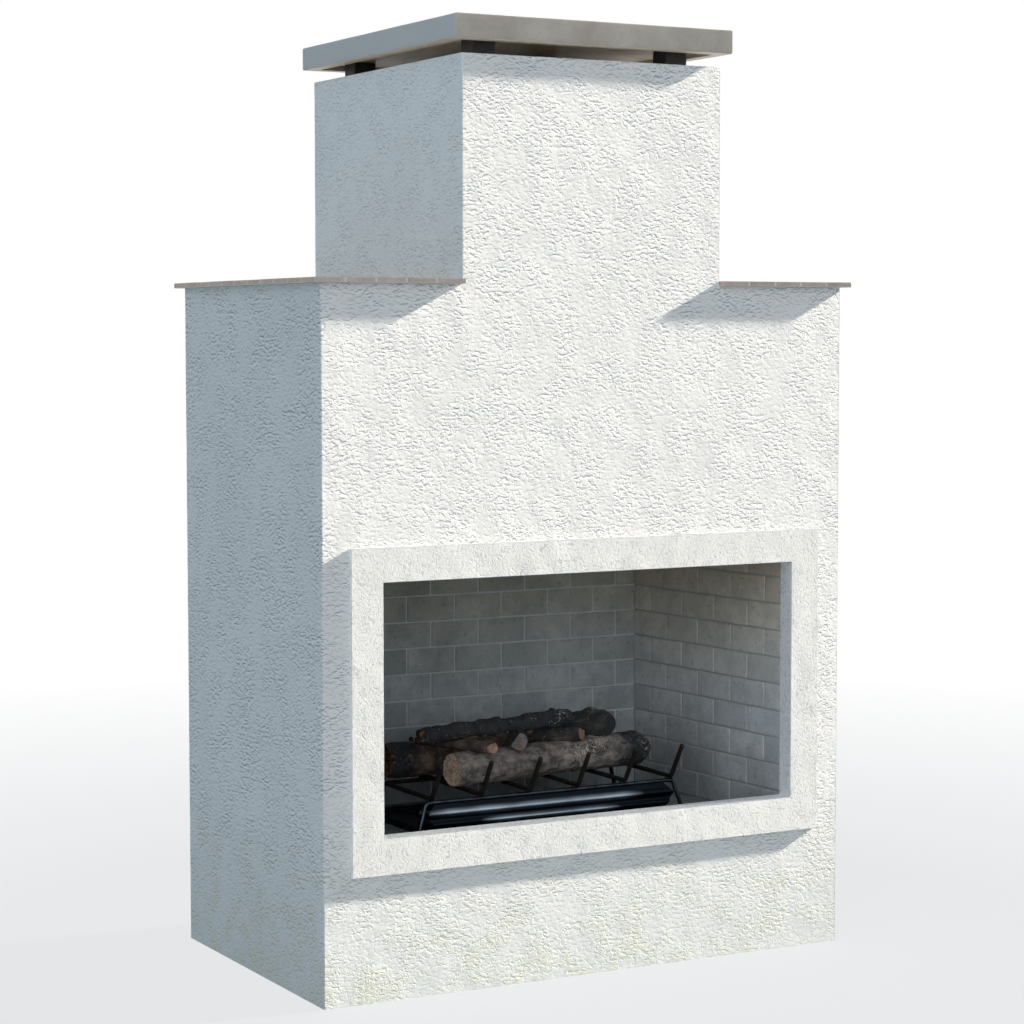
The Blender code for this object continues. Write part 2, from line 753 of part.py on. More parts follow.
def leg_run(lean):
    """The centre line of one bent rod: foot, corner, corner, foot."""
    drop = rail_z - floor_height - gap
    leg = Vector((leg_outward, lean * leg_forward, -drop))
    tilt = math.hypot(leg.x, leg.y) / leg.length
    leg *= (drop - rod_radius * tilt) / drop
    right = Vector((rail_half, 0, 0))
    mirrored = Vector((-leg.x, leg.y, leg.z))
    return bent([mirrored - right, -right, right, right + leg], bend_radius)


def grate():
    """Six bent bars on two bent rods that form the rails and the legs."""
    for number in range(bar_count):
        name = f"grate_bar_{number + 1}"
        x = (number - (bar_count - 1) / 2) * bar_spacing
        place(name, rod_curve(name, bar_run_points(), bar_radius), "grate_steel", (x, grate_front, bar_z))
    for name, y, lean in (("grate_front_legs", grate_front + rail_setback, -1),
                          ("grate_back_legs", grate_back - rail_setback, 1)):
        place(name, rod_curve(name, leg_run(lean), rod_radius), "grate_steel", (0, y, rail_z))


def ridge(drop):
    """Profile points of one half-round ridge, as (distance down, distance forward)."""
    angles = [math.pi * step / ridge_steps for step in range(ridge_steps + 1)]
    return [(drop - ridge_radius * math.cos(angle), ridge_radius * math.sin(angle)) for angle in angles]


def ember_guard():
    """The polished strip between the front legs, with two ridges along it."""
    top = rail_z - rod_radius - gap
    leg_drop = rail_z - floor_height
    y = grate_front + rail_setback

    def beside_leg(drop):
        tilt = math.hypot(leg_outward, leg_drop) / leg_drop
        axis = rail_half + leg_outward * (drop + rod_radius) / leg_drop
        return axis - rod_radius * tilt - guard_clearance

    def half_at(drop):
        taper = beside_leg(guard_widest_drop) - guard_taper_slope * (drop - guard_widest_drop)
        return min(beside_leg(drop), grate_half - guard_corner + drop, taper)

    profile = [(0, 0)] + ridge(first_ridge_drop) + ridge(second_ridge_drop) + [(guard_height, 0)]
    lean = leg_forward / leg_drop
    bm = bmesh.new()
    rows = []
    for drop, forward in profile:
        depth = y - lean * drop - forward
        rows.append([bm.verts.new((sign * half_at(drop), depth, top - drop)) for sign in (-1, 1)])
    for (left, right), (lower_left, lower_right) in zip(rows, rows[1:]):
        bm.faces.new((left, lower_left, lower_right, right))
    guard = place("ember_guard", to_mesh("ember_guard", bm), "polished_steel")
    sheet = guard.modifiers.new("sheet", "SOLIDIFY")
    sheet.thickness = guard_sheet
    sheet.offset = -1


class Log:
    """One log: an axis from its first end to its second, and an outline along it."""

    def __init__(self, name, radius, end_shares, outline_shares):
        self.name = name
        self.radius = radius
        self.outline_shares = outline_shares
        self.ends = [Vector((x_share * grate_half, grate_front + y_share * bar_run, 0))
                     for x_share, y_share in end_shares]

    def level(self, height):
        for end in self.ends:
            end.z = height

    def radius_at(self, place_share):
        """The log's radius at a share of its length."""
        for (start, first, _), (end, second, _) in zip(self.outline_shares, self.outline_shares[1:]):
            if place_share <= end:
                blend = (place_share - start) / (end - start)
                return self.radius * (first + (second - first) * blend)
        return self.radius * self.outline_shares[-1][1]

    def share_at(self, other):
        """How far along this log's axis the other log's axis crosses it, seen from above."""
        along = self.ends[1] - self.ends[0]
        across = other.ends[1] - other.ends[0]
        between = other.ends[0] - self.ends[0]
        return (between.x * across.y - between.y * across.x) / (along.x * across.y - along.y * across.x)

    def seat_height(self, lower):
        """Axis height of this log where it lies on the lower one."""
        own = self.share_at(lower)
        under = lower.share_at(self)
        support = lower.ends[0].lerp(lower.ends[1], under).z + lower.radius_at(under)
        return own, support + self.radius_at(own) - seat_depth

    def lay_on(self, first, second):
        """Tilt the axis so that the log lies on two others."""
        first_share, first_height = self.seat_height(first)
        second_share, second_height = self.seat_height(second)
        slope = (second_height - first_height) / (second_share - first_share)
        for share, end in zip((0, 1), self.ends):
            end.z = first_height + slope * (share - first_share)

    def middle(self):
        return (self.ends[0] + self.ends[1]) / 2

    def mesh(self, extra):
        """A closed mesh of the log about its middle, grown all round by a small extra radius."""
        along = self.ends[1] - self.ends[0]
        sideways = Vector((-along.y, along.x, 0)).normalized() * self.radius
        start = self.ends[0] - self.middle()
        points = [start + along * share + sideways * bend for share, _, bend in self.outline_shares]
        full = self.radius + extra
        radius_shares = [(self.radius * share + extra) / full for _, share, _ in self.outline_shares]
        curve = rod_curve(self.name, points, full, log_bevel_resolution, radius_shares)
        carrier = bpy.data.objects.new("carrier", curve)
        parts.objects.link(carrier)
        graph = bpy.context.evaluated_depsgraph_get()
        mesh = bpy.data.meshes.new_from_object(carrier.evaluated_get(graph))
        bpy.data.objects.remove(carrier)
        bm = bmesh.new()
        bm.from_mesh(mesh)
        bmesh.ops.remove_doubles(bm, verts=bm.verts, dist=merge_distance)
        bm.to_mesh(mesh)
        bm.free()
        return mesh

    def cutter(self):
        shape = set_aside(bpy.data.objects.new(f"{self.name}_seat", self.mesh(gap)))
        shape.location = self.middle()
        return shape


def log_stack():
    """Two long logs on the bars, three across them, one short one and one on top of the cross logs."""
    front = Log("front_log", front_log_radius, front_log_shares, crooked_log_shares)
    rear = Log("rear_log", rear_log_radius, rear_log_shares, straight_log_shares)
    cross_left = Log("cross_log_left", cross_log_left_radius, cross_log_left_shares, straight_log_shares)
    cross_middle = Log("cross_log_middle", cross_log_middle_radius, cross_log_middle_shares,
                       straight_log_shares)
    short = Log("short_log", short_log_radius, short_log_shares, straight_log_shares)
    top = Log("top_log", top_log_radius, top_log_shares, straight_log_shares)
    stump = Log("stump_log", stump_log_radius, stump_log_shares, stump_outline_shares)

    bar_top = bar_z + bar_radius
    for log in (front, rear):
        log.level(bar_top + gap + log.radius - seat_depth)
    for log in (cross_left, cross_middle, stump):
        log.lay_on(front, rear)
    short.level(short.seat_height(front)[1])
    top.lay_on(cross_left, cross_middle)

    bars_top = box_cutter("bars_top", (-2 * grate_half, grate_front - tip_reach, floor_height),
                          (2 * grate_half, grate_back + tip_reach, bar_top + gap))
    long_logs = (front, rear)
    cross_logs = (cross_left, cross_middle)
    seat_cutters = {log: log.cutter() for log in long_logs + cross_logs}
    supports = {cross_left: long_logs, cross_middle: long_logs, stump: long_logs, short: (front,),
                top: cross_logs}
    for log in (front, rear, cross_left, cross_middle, short, top, stump):
        shape = place(log.name, log.mesh(0), "log_ceramic", log.middle())
        if log in long_logs:
            combine(shape, bars_top)
        for support in supports.get(log, ()):
            combine(shape, seat_cutters[support])


clear_scene()
parts = new_collection("outdoor_fireplace")
cutters = new_collection("cutters", hidden=True)
steel_frame()
stucco_and_boards()
ledge_tiles()
opening_surround()
firebox_walls()
riser_hole = hearth()
smoke_hood()
chimney_head()
gas_burner(riser_hole)
grate()
ember_guard()
log_stack()
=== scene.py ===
"""Outdoor fireplace, dressed: stucco, stone, tile, brick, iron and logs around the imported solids.

All lengths are metres in the frame of the solids: +X to the right, +Y to the back, +Z up.
"""

import json
import math
import random

import bmesh
import bpy
from bpy.props import FloatProperty, FloatVectorProperty, IntProperty, PointerProperty
from mathutils import Euler, Matrix, Vector, noise

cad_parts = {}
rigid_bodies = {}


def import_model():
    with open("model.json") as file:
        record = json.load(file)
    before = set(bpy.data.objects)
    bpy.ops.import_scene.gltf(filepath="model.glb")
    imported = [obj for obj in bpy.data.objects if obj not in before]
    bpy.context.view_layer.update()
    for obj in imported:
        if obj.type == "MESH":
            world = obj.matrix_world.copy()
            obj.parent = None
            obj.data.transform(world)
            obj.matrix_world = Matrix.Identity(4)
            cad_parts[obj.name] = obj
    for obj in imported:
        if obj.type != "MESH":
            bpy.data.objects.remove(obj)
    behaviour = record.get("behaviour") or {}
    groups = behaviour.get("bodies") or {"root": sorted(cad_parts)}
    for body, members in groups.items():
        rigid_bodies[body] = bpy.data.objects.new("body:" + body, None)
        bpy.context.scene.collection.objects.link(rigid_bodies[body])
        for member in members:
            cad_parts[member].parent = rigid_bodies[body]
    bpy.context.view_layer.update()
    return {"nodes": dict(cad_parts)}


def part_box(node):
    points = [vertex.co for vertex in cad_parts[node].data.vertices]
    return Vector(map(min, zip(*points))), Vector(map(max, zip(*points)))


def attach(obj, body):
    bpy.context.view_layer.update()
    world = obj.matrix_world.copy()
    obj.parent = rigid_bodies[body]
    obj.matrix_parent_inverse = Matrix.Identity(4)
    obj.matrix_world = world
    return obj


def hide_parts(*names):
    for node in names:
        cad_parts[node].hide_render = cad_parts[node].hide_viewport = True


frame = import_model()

bl_info = {
    "name": "Outdoor fireplace",
    "version": (1, 0, 0),
    "blender": (4, 5, 0),
    "location": "3D View > Sidebar > Fireplace",
    "description": "Dresses the solids of an outdoor fireplace with modelled surfaces and finishes",
    "category": "Object",
}

ROOT = "fireplace"
UP = Vector((0, 0, 1))
WHITE = (1, 1, 1, 1)

# Pieces on the front face that the raking lamp lights
RAKED = ("stucco_coat_front", "surround_face")


def linear(code):
    """The linear colour, with full alpha, of an sRGB hex code."""
    shares = [int(code[place:place + 2], 16) / 255 for place in (0, 2, 4)]
    return tuple(c / 12.92 if c <= 0.04045 else ((c + 0.055) / 1.055) ** 2.4 for c in shares) + (1.0,)


def colour(name, code, about):
    return FloatVectorProperty(name=name, description=about, subtype="COLOR", size=4, min=0, max=1,
                               default=linear(code))


def length(name, metres, about):
    return FloatProperty(name=name, description=about, unit="LENGTH", min=0, default=metres, precision=4)


def level(name, value, about):
    return FloatProperty(name=name, description=about, min=0, default=value)


def share(name, value, about):
    return FloatProperty(name=name, description=about, subtype="FACTOR", min=0, max=1, default=value)


def angle(name, degrees, about):
    return FloatProperty(name=name, description=about, subtype="ANGLE", min=0, default=math.radians(degrees))


class FireplaceStucco(bpy.types.PropertyGroup):
    coat_colour: colour("Coat", "F3F1ED", "Face of the sprayed coat")
    # The sides' coat is a cooler, bluer copy of the front's coat: painted shade for the sky light on the
    # sides
    shaded_side_colour: colour("Side coat", "F1F8F8", "Cooler coat of the sides, which the rain reaches")
    # Crease colours are painted shade under the lumps' lower edges; the sides' is darker still, painted shade
    # for their weaker light
    crease_shade_colour: colour("Creases", "9FA8AD", "Lower edges of the relief, where dust settles")
    side_crease_shade_colour: colour("Side creases", "727D84", "The same on the sides, which weather more")
    # Towards the ground the coat turns duller and cooler, and takes an algae tint in blotches
    low_coat_colour: colour("Splash zone", "D0D6D3", "Duller coat near the ground")
    stain_colour: colour("Damp stain", "D6D5BC", "Algae tint near the ground")
    surround_colour: colour("Surround", "ECEBE6", "Floated coat on the raised surround")
    relief_size: length("Relief size", 0.0062, "Distance between the curls of the coat")
    relief_depth: length("Relief depth", 0.0005, "Height of the curls")
    cell: length("Cell", 0.01, "Size of the mesh cells")
    arris: length("Arris", 0.002, "Rounding of the corners")
    waviness: length("Waviness", 0.0006, "How far the hand-finished faces wander")
    surround_arris: length("Surround arris", 0.0012, "Rounding of the surround's edges")


class FireplaceMasonry(bpy.types.PropertyGroup):
    brick_pale: colour("Pale brick", "D6DCDD", "Lightest firebrick of the back wall")
    brick_mid: colour("Brick", "C8CFD1", "Usual firebrick of the back wall")
    brick_dark: colour("Dark brick", "B0B8BB", "Darkest firebrick of the back wall")
    # The side walls' bricks are paler than the back wall's: painted light for the brighter light on the side
    # walls
    side_pale_lit: colour("Pale side brick", "EFF2F2", "Lightest firebrick of the side walls")
    side_mid_lit: colour("Side brick", "E5E8E9", "Usual firebrick of the side walls")
    side_dark_lit: colour("Dark side brick", "CED2D4", "Darkest firebrick of the side walls")
    # The hearth's bricks and joints are darker and bluer than the walls'
    floor_pale: colour("Pale floor brick", "A8B0B4", "Lightest brick of the hearth")
    floor_mid: colour("Floor brick", "9AA1A4", "Usual brick of the hearth")
    floor_dark: colour("Dark floor brick", "7F8588", "Darkest brick of the hearth")
    mortar_colour: colour("Mortar", "E4E8E8", "Joints of the back wall")
    side_mortar_colour: colour("Side mortar", "C6C8C4", "Joints of the side walls")
    floor_mortar_colour: colour("Floor mortar", "6A6762", "Sooty joints of the hearth")
    soot_colour: colour("Soot", "252B2F", "Film that smoke leaves")
    # The heat tan darkens the upper courses too: partly their own tan, partly painted shade under the lintel
    tan_and_shade_colour: colour("Heat tan", "F2D8AE", "Warm tint of the upper courses")
    tile_colour: colour("Tile", "CEBAAD", "Ledge tile")
    tile_dark: colour("Dark tile", "BAA698", "Darker ledge tile")
    grout_colour: colour("Grout", "F6F2EA", "Joints between the tiles")
    cap_colour: colour("Cap", "CCC2B5", "Face of the cap slab")
    cap_dark: colour("Cap weathering", "B8AEA2", "Weathered parts of the cap slab")
    # Cool tint of the faces towards -X: painted shade for the side away from the key lamp
    cap_shade_side_colour: colour("Cap bloom", "C6CDCE", "Cool cement bloom on the side away from the sun")
    # Pale tan of the underside: its own tan, lightened as painted light for the light bounced into the gap
    underside_lit_colour: colour("Cap underside", "FBE9CF", "Tan face that lay on the mould")
    brick_arris: length("Brick arris", 0.0022, "Rounding of the bricks' edges")
    brick_wear: length("Brick wear", 0.0009, "How far the bricks' edges wander")
    tile_arris: length("Tile arris", 0.0009, "Rounding of the tiles' edges")
    cap_arris: length("Cap arris", 0.003, "Rounding of the cap's edges")
    cap_wear: length("Cap wear", 0.0012, "How far the cap's edges wander")
    cap_rim: length("Cap rim", 0.03, "Width of the rim round the recess in the cap's underside")
    cap_recess: length("Cap recess", 0.012, "Depth of that recess")
    cap_cell: length("Cap cell", 0.012, "Size of the cap's mesh cells")


class FireplaceIron(bpy.types.PropertyGroup):
    iron_colour: colour("Iron", "1D1C1C", "Heat-blackened rod")
    rust_colour: colour("Rust", "33281F", "Rust on the rod")
    guard_colour: colour("Guard", "161B22", "Blued strip")
    pan_colour: colour("Pan", "2B3036", "Satin black tray")
    zinc_colour: colour("Zinc", "B8BCBE", "Galvanised tube and sheet")
    paint_colour: colour("Black paint", "1B1B1C", "Paint of the spacer blocks")
    bend_steps: IntProperty(name="Bend steps", description="Points on each rod bend", default=8, min=2)
    rod_sides: IntProperty(name="Rod sides", description="Points round a rod", default=16, min=4)
    weld_size: length("Weld", 0.0042, "Half the width of a weld bead")


class FireplaceLogs(bpy.types.PropertyGroup):
    bark_colour: colour("Bark", "A1968E", "Plates of the bark")
    furrow_colour: colour("Furrow", "2B2725", "Furrows of the bark")
    ash_colour: colour("Ash", "EFE8DB", "Ash and lichen on the bark")
    char_colour: colour("Char", "2E3033", "Burnt bark")
    wood_colour: colour("Wood", "CDA893", "Fresh end wood")
    rust_colour: colour("Scorch", "A4602F", "Orange scorch at some ends")
    rings: IntProperty(name="Sections", description="Sections along each log", default=84, min=8)
    sides: IntProperty(name="Sides", description="Points round each section", default=48, min=8)
    bark_width: length("Bark width", 0.009, "Distance between the furrows")
    bark_share: share("Bark depth", 0.07, "Depth of the furrows as a share of the radius")


class FireplaceStage(bpy.types.PropertyGroup):
    floor_colour: colour("Floor", "B9C1C8", "Plain pale floor")
    floor_glow: share("Floor glow", 0.72, "How far the floor near the object is lifted towards white")
    sky_colour: colour("Sky", "DBEAF7", "Soft light from all round")
    key_colour: colour("Key", "FFF6EA", "Light from the right")
    fill_colour: colour("Fill", "F8FAFC", "Soft light from the front")
    high_colour: colour("High", "DDE9F6", "Soft light from high on the left")
    sky_level: level("Sky level", 0.3, "Light from all round")
    key_level: level("Key level", 1.5, "Irradiance of the key lamp")
    rake_level: level("Rake level", 16.8, "Irradiance of the lamp that rakes the front")
    fill_level: level("Fill level", 0.88, "Irradiance of the fill lamp")
    high_level: level("High level", 0.58, "Irradiance of the high lamp")
    key_softness: angle("Key softness", 2, "Angle of the key lamp")
    fill_softness: angle("Fill softness", 60, "Angle of the fill lamp")
    lens: FloatProperty(name="Lens", description="Focal length", subtype="DISTANCE_CAMERA", default=91.46)
    camera_place: FloatVectorProperty(name="Camera", description="Where the camera stands", subtype="XYZ",
                                      unit="LENGTH", default=(-2.690, -4.911, 1.3138))
    camera_turn: FloatVectorProperty(name="Camera turn", description="How the camera is turned",
                                     subtype="EULER",
                                     default=[math.radians(turn) for turn in (86.112, 0.05, -28.722)])


# Nodes and materials

def feed(tree, node, *values, **named):
    """Set or link a node's inputs: values in the order of its open sockets, and others by name."""
    opened = [socket for socket in node.inputs if socket.enabled]
    pairs = [*zip(opened, values), *((node.inputs[name.replace("_", " ")], named[name]) for name in named)]
    for socket, value in pairs:
        if isinstance(value, bpy.types.Node):
            value = next(output for output in value.outputs if output.enabled)
        if isinstance(value, bpy.types.NodeSocket):
            tree.links.new(value, socket)
        else:
            socket.default_value = value


def add(tree, kind, *values, stops=(), **given):
    """Add a node; capitalised names are its inputs, other names its settings, and a ramp has stops."""
    made = tree.nodes.new(f"ShaderNode{kind}")
    inputs = {name: value for name, value in given.items() if name[0].isupper()}
    for name in given:
        if name not in inputs:
            setattr(made, name, given[name])
    points = made.color_ramp.elements if stops else []
    for _ in stops[len(points):]:
        points.new(1)
    for point, (place, tint) in zip(points, stops):
        point.position = place
        point.color = tint if hasattr(tint, "__len__") else grey(tint)
    feed(tree, made, *values, **inputs)
    return made


def per_metre(size):
    """The texture scale at which one feature is this many metres across.

    Real sand, grain and flecks are under 1 mm and don't show at this distance, so the materials draw them
    as coarse as they need to show, 2 to 6 mm across.
    """
    return 1 / size


def grey(value):
    return (value, value, value, 1)


def dim(tint, share_left):
    return tuple(share_left * value for value in tint[:3]) + (1,)


def new_material(name, roughness, metallic=0.0, specular=0.5):
    """A material with a Principled shader; returns it, its tree, its shader and the place in metres."""
    material = bpy.data.materials.new(name)
    material.use_nodes = True
    tree = material.node_tree
    shader = tree.nodes["Principled BSDF"]
    feed(tree, shader, Roughness=roughness, Metallic=metallic, Specular_IOR_Level=specular)
    return material, tree, shader, add(tree, "TexCoord").outputs["Object"]


def sprayed_stucco(context, name, coat_colour, crease_shade_colour, calm, shade):
    """Cement stucco, sprayed and knocked down: flat lumps of about 6 by 11 mm, with painted shade under their
    lower edges and a painted highlight along their upper edges, as light from above would give them.

    A second sample, a little higher, gives the slope of the lumps. Calm is the share of the painted edges
    on the chimney, above the ledges, and shade darkens the coat below them as painted shade.
    """
    look = context.scene.fireplace_stucco
    material, tree, shader, place = new_material(name, 0.92, specular=0.25)
    lumps = []
    for lift in (0.0, look.relief_size * 0.3):
        drawn = add(tree, "VectorMath", place, (0.55, 0.55, 1.0), (0.0, 0.0, lift), operation="MULTIPLY_ADD")
        curls = add(tree, "TexNoise", Vector=drawn, Scale=per_metre(look.relief_size), Detail=4.0,
                    Roughness=0.62, Distortion=0.6)
        lumps.append(add(tree, "ValToRGB", curls, stops=[(0.38, 0), (0.47, 0.6), (0.52, 0.9), (0.7, 1)]))
    slope = add(tree, "Math", lumps[1], lumps[0], operation="SUBTRACT")
    crowds = add(tree, "TexNoise", Vector=place, Scale=per_metre(0.06), Detail=4.0)
    crowd_share = add(tree, "MapRange", crowds, 0.4, 0.58, 0.34, 1.0)
    crowded = add(tree, "Math", lumps[0], crowd_share, operation="MULTIPLY")
    sand = add(tree, "TexNoise", Vector=place, Scale=per_metre(0.0045), Detail=3.0)
    relief = add(tree, "Math", sand, 0.35, crowded, operation="MULTIPLY_ADD")
    bump = add(tree, "Bump", Height=relief, Distance=look.relief_depth, Strength=1.0)
    patches = add(tree, "TexNoise", Vector=place, Scale=per_metre(0.21), Detail=5.0)
    patch_share = add(tree, "ValToRGB", patches, stops=[(0.42, 0), (0.62, 1)])
    face = add(tree, "Mix", patch_share, coat_colour, dim(coat_colour, 0.965), data_type="RGBA")
    height = add(tree, "SeparateXYZ", place).outputs["Z"]
    # Below the shoulders the coat is darkened: painted shade for the lower body, which gets less light than
    # the chimney
    low_shade_share = add(tree, "MapRange", height, 1.38, 1.42, shade, 1.0)
    tone = add(tree, "VectorMath", face, low_shade_share, operation="SCALE")
    upper = add(tree, "MapRange", height, 1.38, 1.42, 1.0, calm)
    painted_edge_share = add(tree, "Math", crowd_share, upper, operation="MULTIPLY")
    # Lower edges of the lumps take the crease colour as painted shade, upper edges white as a painted
    # highlight
    for gentle, steep, tint in ((0.06, 0.5, crease_shade_colour), (-0.06, -0.5, WHITE)):
        edge = add(tree, "MapRange", slope, gentle, steep)
        marked = add(tree, "Math", edge, painted_edge_share, operation="MULTIPLY")
        tone = add(tree, "Mix", marked, tone, tint, data_type="RGBA")
    # Up to 0.34 m the coat is mixed, up to halfway, towards a duller, cooler grey
    damp = add(tree, "MapRange", height, 0.0, 0.34, 0.5, 0.0)
    blotches = add(tree, "TexNoise", Vector=place, Scale=per_metre(0.06), Detail=6.0, Roughness=0.65)
    blotch_share = add(tree, "ValToRGB", blotches, stops=[(0.45, 0), (0.62, 1)])
    stain = add(tree, "Math", damp, blotch_share, operation="MULTIPLY")
    weathered = add(tree, "Mix", damp, tone, look.low_coat_colour, data_type="RGBA")
    stained = add(tree, "Mix", stain, weathered, look.stain_colour, data_type="RGBA")
    feed(tree, shader, Base_Color=stained, Normal=bump)
    return material


def floated_stucco(context, name, tint, tint_share):
    """Cement stucco, floated: a fine sandy face with a few drag marks."""
    look = context.scene.fireplace_stucco
    material, tree, shader, place = new_material(name, 0.88, specular=0.3)
    sand = add(tree, "TexNoise", Vector=place, Scale=per_metre(0.006), Detail=4.0, Roughness=0.6)
    drags = add(tree, "TexNoise", Vector=place, Scale=per_metre(0.022), Detail=3.0, Distortion=1.4)
    ridges = add(tree, "ValToRGB", drags, stops=[(0.47, 0), (0.5, 1), (0.53, 0)])
    relief = add(tree, "Math", ridges, -0.35, sand, operation="MULTIPLY_ADD")
    bump = add(tree, "Bump", Height=relief, Distance=0.0006, Strength=0.8)
    clouds = add(tree, "TexNoise", Vector=place, Scale=per_metre(0.12), Detail=6.0)
    tone = add(tree, "ValToRGB", clouds, stops=[(0.35, linear("E4E2DE")), (0.6, linear("F1F0ED"))])
    face = add(tree, "Mix", tint_share, tone, tint, data_type="RGBA")
    # The drag grooves get half the crease colour: painted shade in the grooves
    groove_shade_share = add(tree, "Math", ridges, 0.5, operation="MULTIPLY")
    marked = add(tree, "Mix", groove_shade_share, face, look.crease_shade_colour, data_type="RGBA")
    feed(tree, shader, Base_Color=marked, Normal=bump)
    return material


def fired_brick(context, name, pale, mid, dark, smoke_soot, flame_soot, flame_place, flame_reach):
    """Dense firebrick, pressed and fired: each brick a tone of its own, with pits and a film of soot.

    The flames blacken it round one place, which counts on the left and right alike.
    """
    look = context.scene.fireplace_masonry
    material, tree, shader, place = new_material(name, 0.9, specular=0.3)
    each = add(tree, "NewGeometry").outputs["Random Per Island"]
    tone = add(tree, "ValToRGB", each, stops=[(0.0, dark), (0.3, mid), (0.75, pale), (1.0, mid)])
    clouds = add(tree, "TexNoise", Vector=place, Scale=per_metre(0.035), Detail=6.0, Roughness=0.62)
    cloud_share = add(tree, "ValToRGB", clouds, stops=[(0.38, 0), (0.66, 0.75)])
    mottled = add(tree, "Mix", cloud_share, tone, dark, data_type="RGBA")
    smudges = add(tree, "TexNoise", Vector=place, Scale=per_metre(0.012), Detail=6.0, Roughness=0.7)
    smudge_share = add(tree, "ValToRGB", smudges, stops=[(0.3, 0.6), (0.44, 0), (0.58, 0), (0.75, 0.35)])
    smudged = add(tree, "Mix", smudge_share, mottled, dim(dark, 0.5), data_type="RGBA")
    axes = add(tree, "SeparateXYZ", place).outputs
    # Upper courses darkened and warmed: partly heat tan, partly painted shade under the lintel
    upper = add(tree, "MapRange", axes["Z"], 0.5, 0.86, 0.0, 0.85)
    tanned_and_shaded = add(tree, "Mix", upper, smudged, look.tan_and_shade_colour, data_type="RGBA", blend_type="MULTIPLY")
    sideways = add(tree, "Math", axes["X"], operation="ABSOLUTE")
    beside = add(tree, "CombineXYZ", sideways, axes["Y"], axes["Z"])
    away = add(tree, "VectorMath", beside, flame_place, operation="DISTANCE")
    flame_share = add(tree, "MapRange", away, flame_reach, flame_reach + 0.2, flame_soot, 0.0)
    smoke = add(tree, "TexNoise", Vector=place, Scale=per_metre(0.18), Detail=5.0)
    smoke_share = add(tree, "MapRange", smoke, 0.35, 0.75, 0.0, smoke_soot)
    # Darker towards the bottom of the walls and over the hearth, mixed in with the soot
    lower_darkening = add(tree, "MapRange", axes["Z"], 0.3, 0.62, 0.3, 0.0)
    dirt = add(tree, "Math", smoke_share, lower_darkening, operation="ADD")
    soot = add(tree, "Math", dirt, flame_share, operation="MAXIMUM")
    sooty = add(tree, "Mix", soot, tanned_and_shaded, look.soot_colour, data_type="RGBA")
    grain = add(tree, "TexNoise", Vector=place, Scale=per_metre(0.005), Detail=5.0, Roughness=0.7)
    pits = add(tree, "TexVoronoi", Vector=place, Scale=per_metre(0.011))
    pit_depth = add(tree, "MapRange", pits, 0.05, 0.22, -0.8, 0.0)
    relief = add(tree, "Math", grain, pit_depth, operation="ADD")
    bump = add(tree, "Bump", Height=relief, Distance=0.0012, Strength=0.9)
    feed(tree, shader, Base_Color=sooty, Normal=bump)
    return material


def sandy_joint(name, tint, size, depth):
    """Mortar or grout, struck by hand: a sandy, matt joint."""
    material, tree, shader, place = new_material(name, 0.95, specular=0.2)
    sand = add(tree, "TexNoise", Vector=place, Scale=per_metre(size), Detail=5.0, Roughness=0.7)
    tone = add(tree, "Mix", sand, tint, dim(tint, 0.62), data_type="RGBA")
    bump = add(tree, "Bump", Height=sand, Distance=depth, Strength=1.0)
    feed(tree, shader, Base_Color=tone, Normal=bump)
    return material


def stone_tile(context):
    """Taupe stone tile, sawn and honed: cloudy, each tile a shade of its own, with a low sheen."""
    look = context.scene.fireplace_masonry
    material, tree, shader, place = new_material("honed stone tile", 0.5, specular=0.45)
    each = add(tree, "NewGeometry").outputs["Random Per Island"]
    tone = add(tree, "Mix", each, look.tile_dark, look.tile_colour, data_type="RGBA")
    clouds = add(tree, "TexNoise", Vector=place, Scale=per_metre(0.028), Detail=7.0, Roughness=0.6,
                 Distortion=0.5)
    cloudy = add(tree, "ValToRGB", clouds, stops=[(0.35, linear("AA9C91")), (0.52, linear("C4B6AB")),
                                                 (0.68, linear("DACCC1"))])
    face = add(tree, "Mix", 0.5, tone, cloudy, data_type="RGBA")
    dull = add(tree, "MapRange", clouds, 0.3, 0.7, 0.38, 0.62)
    fine = add(tree, "TexNoise", Vector=place, Scale=per_metre(0.004), Detail=3.0)
    bump = add(tree, "Bump", Height=fine, Distance=0.0003, Strength=0.6)
    feed(tree, shader, Base_Color=face, Roughness=dull, Normal=bump)
    return material


